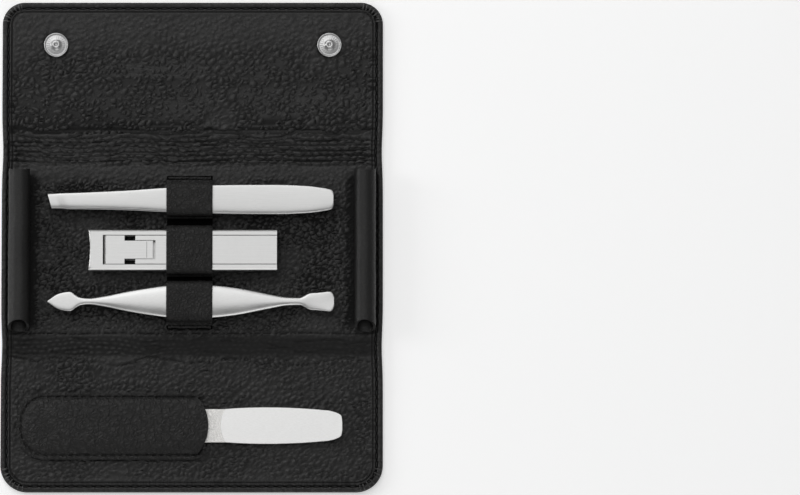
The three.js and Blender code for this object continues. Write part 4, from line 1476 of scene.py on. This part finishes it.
def turned(profile, steps):
    """Spins a closed (radius, height) profile in millimetres round the Z axis."""
    bm = bmesh.new()
    line = [bm.verts.new((radius * MM, 0, height * MM)) for radius, height in profile]
    edges = [bm.edges.new(pair) for pair in zip(line, line[1:])]
    bmesh.ops.spin(bm, geom=line + edges, cent=(0, 0, 0), axis=(0, 0, 1), angle=2 * math.pi,
                   steps=steps, use_merge=True)
    bmesh.ops.remove_doubles(bm, verts=bm.verts, dist=5e-6)
    bmesh.ops.recalc_face_normals(bm, faces=bm.faces)
    return bm


def snap_part(kind, side, bm, place, z, body):
    """Puts one half of a snap in its place on the case."""
    bmesh.ops.translate(bm, vec=(place.x, place.y, z), verts=bm.verts)
    shade(bm, 50)
    part = to_piece(f"{kind}_{side}", bm, POLISHED)
    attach(part, body)
    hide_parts(f"snap_{kind}_{side}")


def make_stud(side, place):
    """The male half of a snap, on the lining of the flap."""
    bm = turned(STUD_PROFILE, 180)
    for vertex in bm.verts:
        reach = vertex.co.to_2d().length / MM
        if 1.8 < reach < 3.3 and 0.1 * MM < vertex.co.z < 0.5 * MM:
            turn = math.atan2(vertex.co.y, vertex.co.x)
            vertex.co.z += 0.07 * MM * (0.5 + 0.5 * math.cos(RIBS * turn)) * bell(reach - 2.6, 0.5)
    snap_part("stud", side, bm, place, PANEL, "flap")


def make_socket(side, place):
    """The female half, set into the outer leather of the front panel."""
    bm = turned(SOCKET_PROFILE, 96)
    lying = Matrix.Rotation(QUARTER, 3, "X")
    for across in (-1, 1):
        wire = bmesh.ops.create_cone(bm, cap_ends=True, segments=12, radius1=WIRE_RADIUS,
                                     radius2=WIRE_RADIUS, depth=WIRE_LENGTH)["verts"]
        bmesh.ops.rotate(bm, verts=wire, cent=(0, 0, 0), matrix=lying)
        bmesh.ops.translate(bm, verts=wire, vec=(across * WIRE_PLACE, 0, 0.55 * MM))
    snap_part("socket", side, bm, place, 0, "front")


for side, stud_place, socket_place in zip(SIDES, STUDS, SOCKETS):
    make_stud(side, stud_place)
    make_socket(side, socket_place)

# %% [markdown]
# ## Clipper, file, badge and hidden parts
#
# The clipper, the file, the badge and the parts out of sight keep the solid's own bodies.
# Weld joins their split corners, Bevel rounds each sharp edge by a tenth of a millimetre or
# so, as stamping and tumbling do, and Weighted Normal keeps the flat faces flat in the
# reflections. Each is given its material here. The clipper's tongue gets a dark strip across
# it, painted shade for the fine groove that is left where punched plate is bent.

# %% Materials for the solid's own bodies
def grit_material():
    """Sapphire grit on steel: tiny crystals, a few of which catch the light."""
    material, tree, shader = blank_material("file_grit")
    crystals = add_node(tree, "TexVoronoi", {"Vector": object_place(tree), "Scale": 6500}).outputs
    tint = add_node(tree, "SeparateColor", {0: crystals["Color"]})
    glint = smooth_step(tree, tint.outputs["Red"], 0.55, 0.95)
    feed(tree, shader, {
        # The crystals that glint are painted paler as well as smoother: a painted glint.
        "Base Color": ramp(tree, glint, (0.83, 0.82, 0.8), (1.0, 0.99, 0.97)), "Metallic": 0.9,
        "Roughness": spread(tree, glint, 0.6, 0.25),
        "Normal": bump(tree, crystals["Distance"], 0.00003)})
    return material


def mottled(name, scale, detail, dark, light, relief):
    """A material of two colours in soft spots. Gives its tree, shader and mask too."""
    material, tree, shader = blank_material(name)
    spots = noise_texture(tree, object_place(tree), scale, detail).outputs["Fac"]
    feed(tree, shader, {"Base Color": ramp(tree, spots, dark, light),
                        "Normal": bump(tree, spots, relief)})
    return material, tree, shader, spots


GRIT = grit_material()
ENAMEL, tree, shader, spots = mottled(
    "black_enamel", 420, 2, (0.004, 0.004, 0.0045), (0.009, 0.009, 0.0095), 0.00003)
feed(tree, shader, {"Roughness": spread(tree, spots, 0.08, 0.2)})
BOARD, tree, shader, spots = mottled(
    "pulp_board", 2600, 5, (0.19, 0.16, 0.12), (0.42, 0.37, 0.3), 0.00005)
feed(tree, shader, {"Roughness": 0.9})
print("materials", GRIT.name, ENAMEL.name, BOARD.name)

# %% Rounded edges and the bend line
# material and radius of the rounded edges in millimetres
EDGE_ROUNDING = {
    "clipper_lower_jaw": (BRUSHED, 0.1), "clipper_upper_jaw": (BRUSHED, 0.1),
    "clipper_rear_block": (BRUSHED, 0.08), "clipper_link": (BRUSHED, 0.09),
    "clipper_lever": (BRUSHED, 0.1), "clipper_link_pin": (POLISHED, 0.06),
    "clipper_lever_pin": (POLISHED, 0.06), "tweezer_weld": (BRUSHED, 0.05),
    "snap_rivet_left": (POLISHED, 0.05), "snap_rivet_right": (POLISHED, 0.05),
    "file_blade": (GRIT, 0.12), "file_handle": (SATIN, 0.3), "badge_frame": (POLISHED, 0.16),
    "badge_enamel": (ENAMEL, 0.05), "board_flap": (BOARD, 0.05), "board_back": (BOARD, 0.05),
    "board_front": (BOARD, 0.05),
}
BEND_X = -14.2 * MM
BEND_SIZE = (0.16 * MM, 5.2 * MM, 0.03 * MM)


def round_edges(body, width):
    """Weld, bevel and weighted normals on a carried-over body."""
    body.modifiers.new("weld", "WELD").merge_threshold = 1e-6
    bevel = body.modifiers.new("rounded", "BEVEL")
    bevel.width = width * MM
    bevel.segments = 3
    bevel.limit_method = "ANGLE"
    bevel.angle_limit = math.radians(32)
    bevel.harden_normals = True
    for face in body.data.polygons:
        face.use_smooth = True
    body.modifiers.new("even_normals", "WEIGHTED_NORMAL").keep_sharp = True


def bend_mark():
    """Dark strip on the clipper's tongue, painted shade of the line where the punched plate was
    bent.
    """
    low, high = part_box("clipper_link")
    centre = Vector((BEND_X, (low.y + high.y) / 2, high.z))
    bm = bmesh.new()
    bmesh.ops.create_cube(bm, size=1)
    for vertex in bm.verts:
        vertex.co = centre + vertex.co * Vector(BEND_SIZE)
    shade(bm, 30)
    mark = to_piece("clipper_bend", bm, GROOVE_SHADE_STEEL)
    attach(mark, "clipper_hook")


for node, (material, width) in EDGE_ROUNDING.items():
    body = bpy.data.objects[node]
    body.data.materials.clear()
    body.data.materials.append(material)
    round_edges(body, width)
bend_mark()
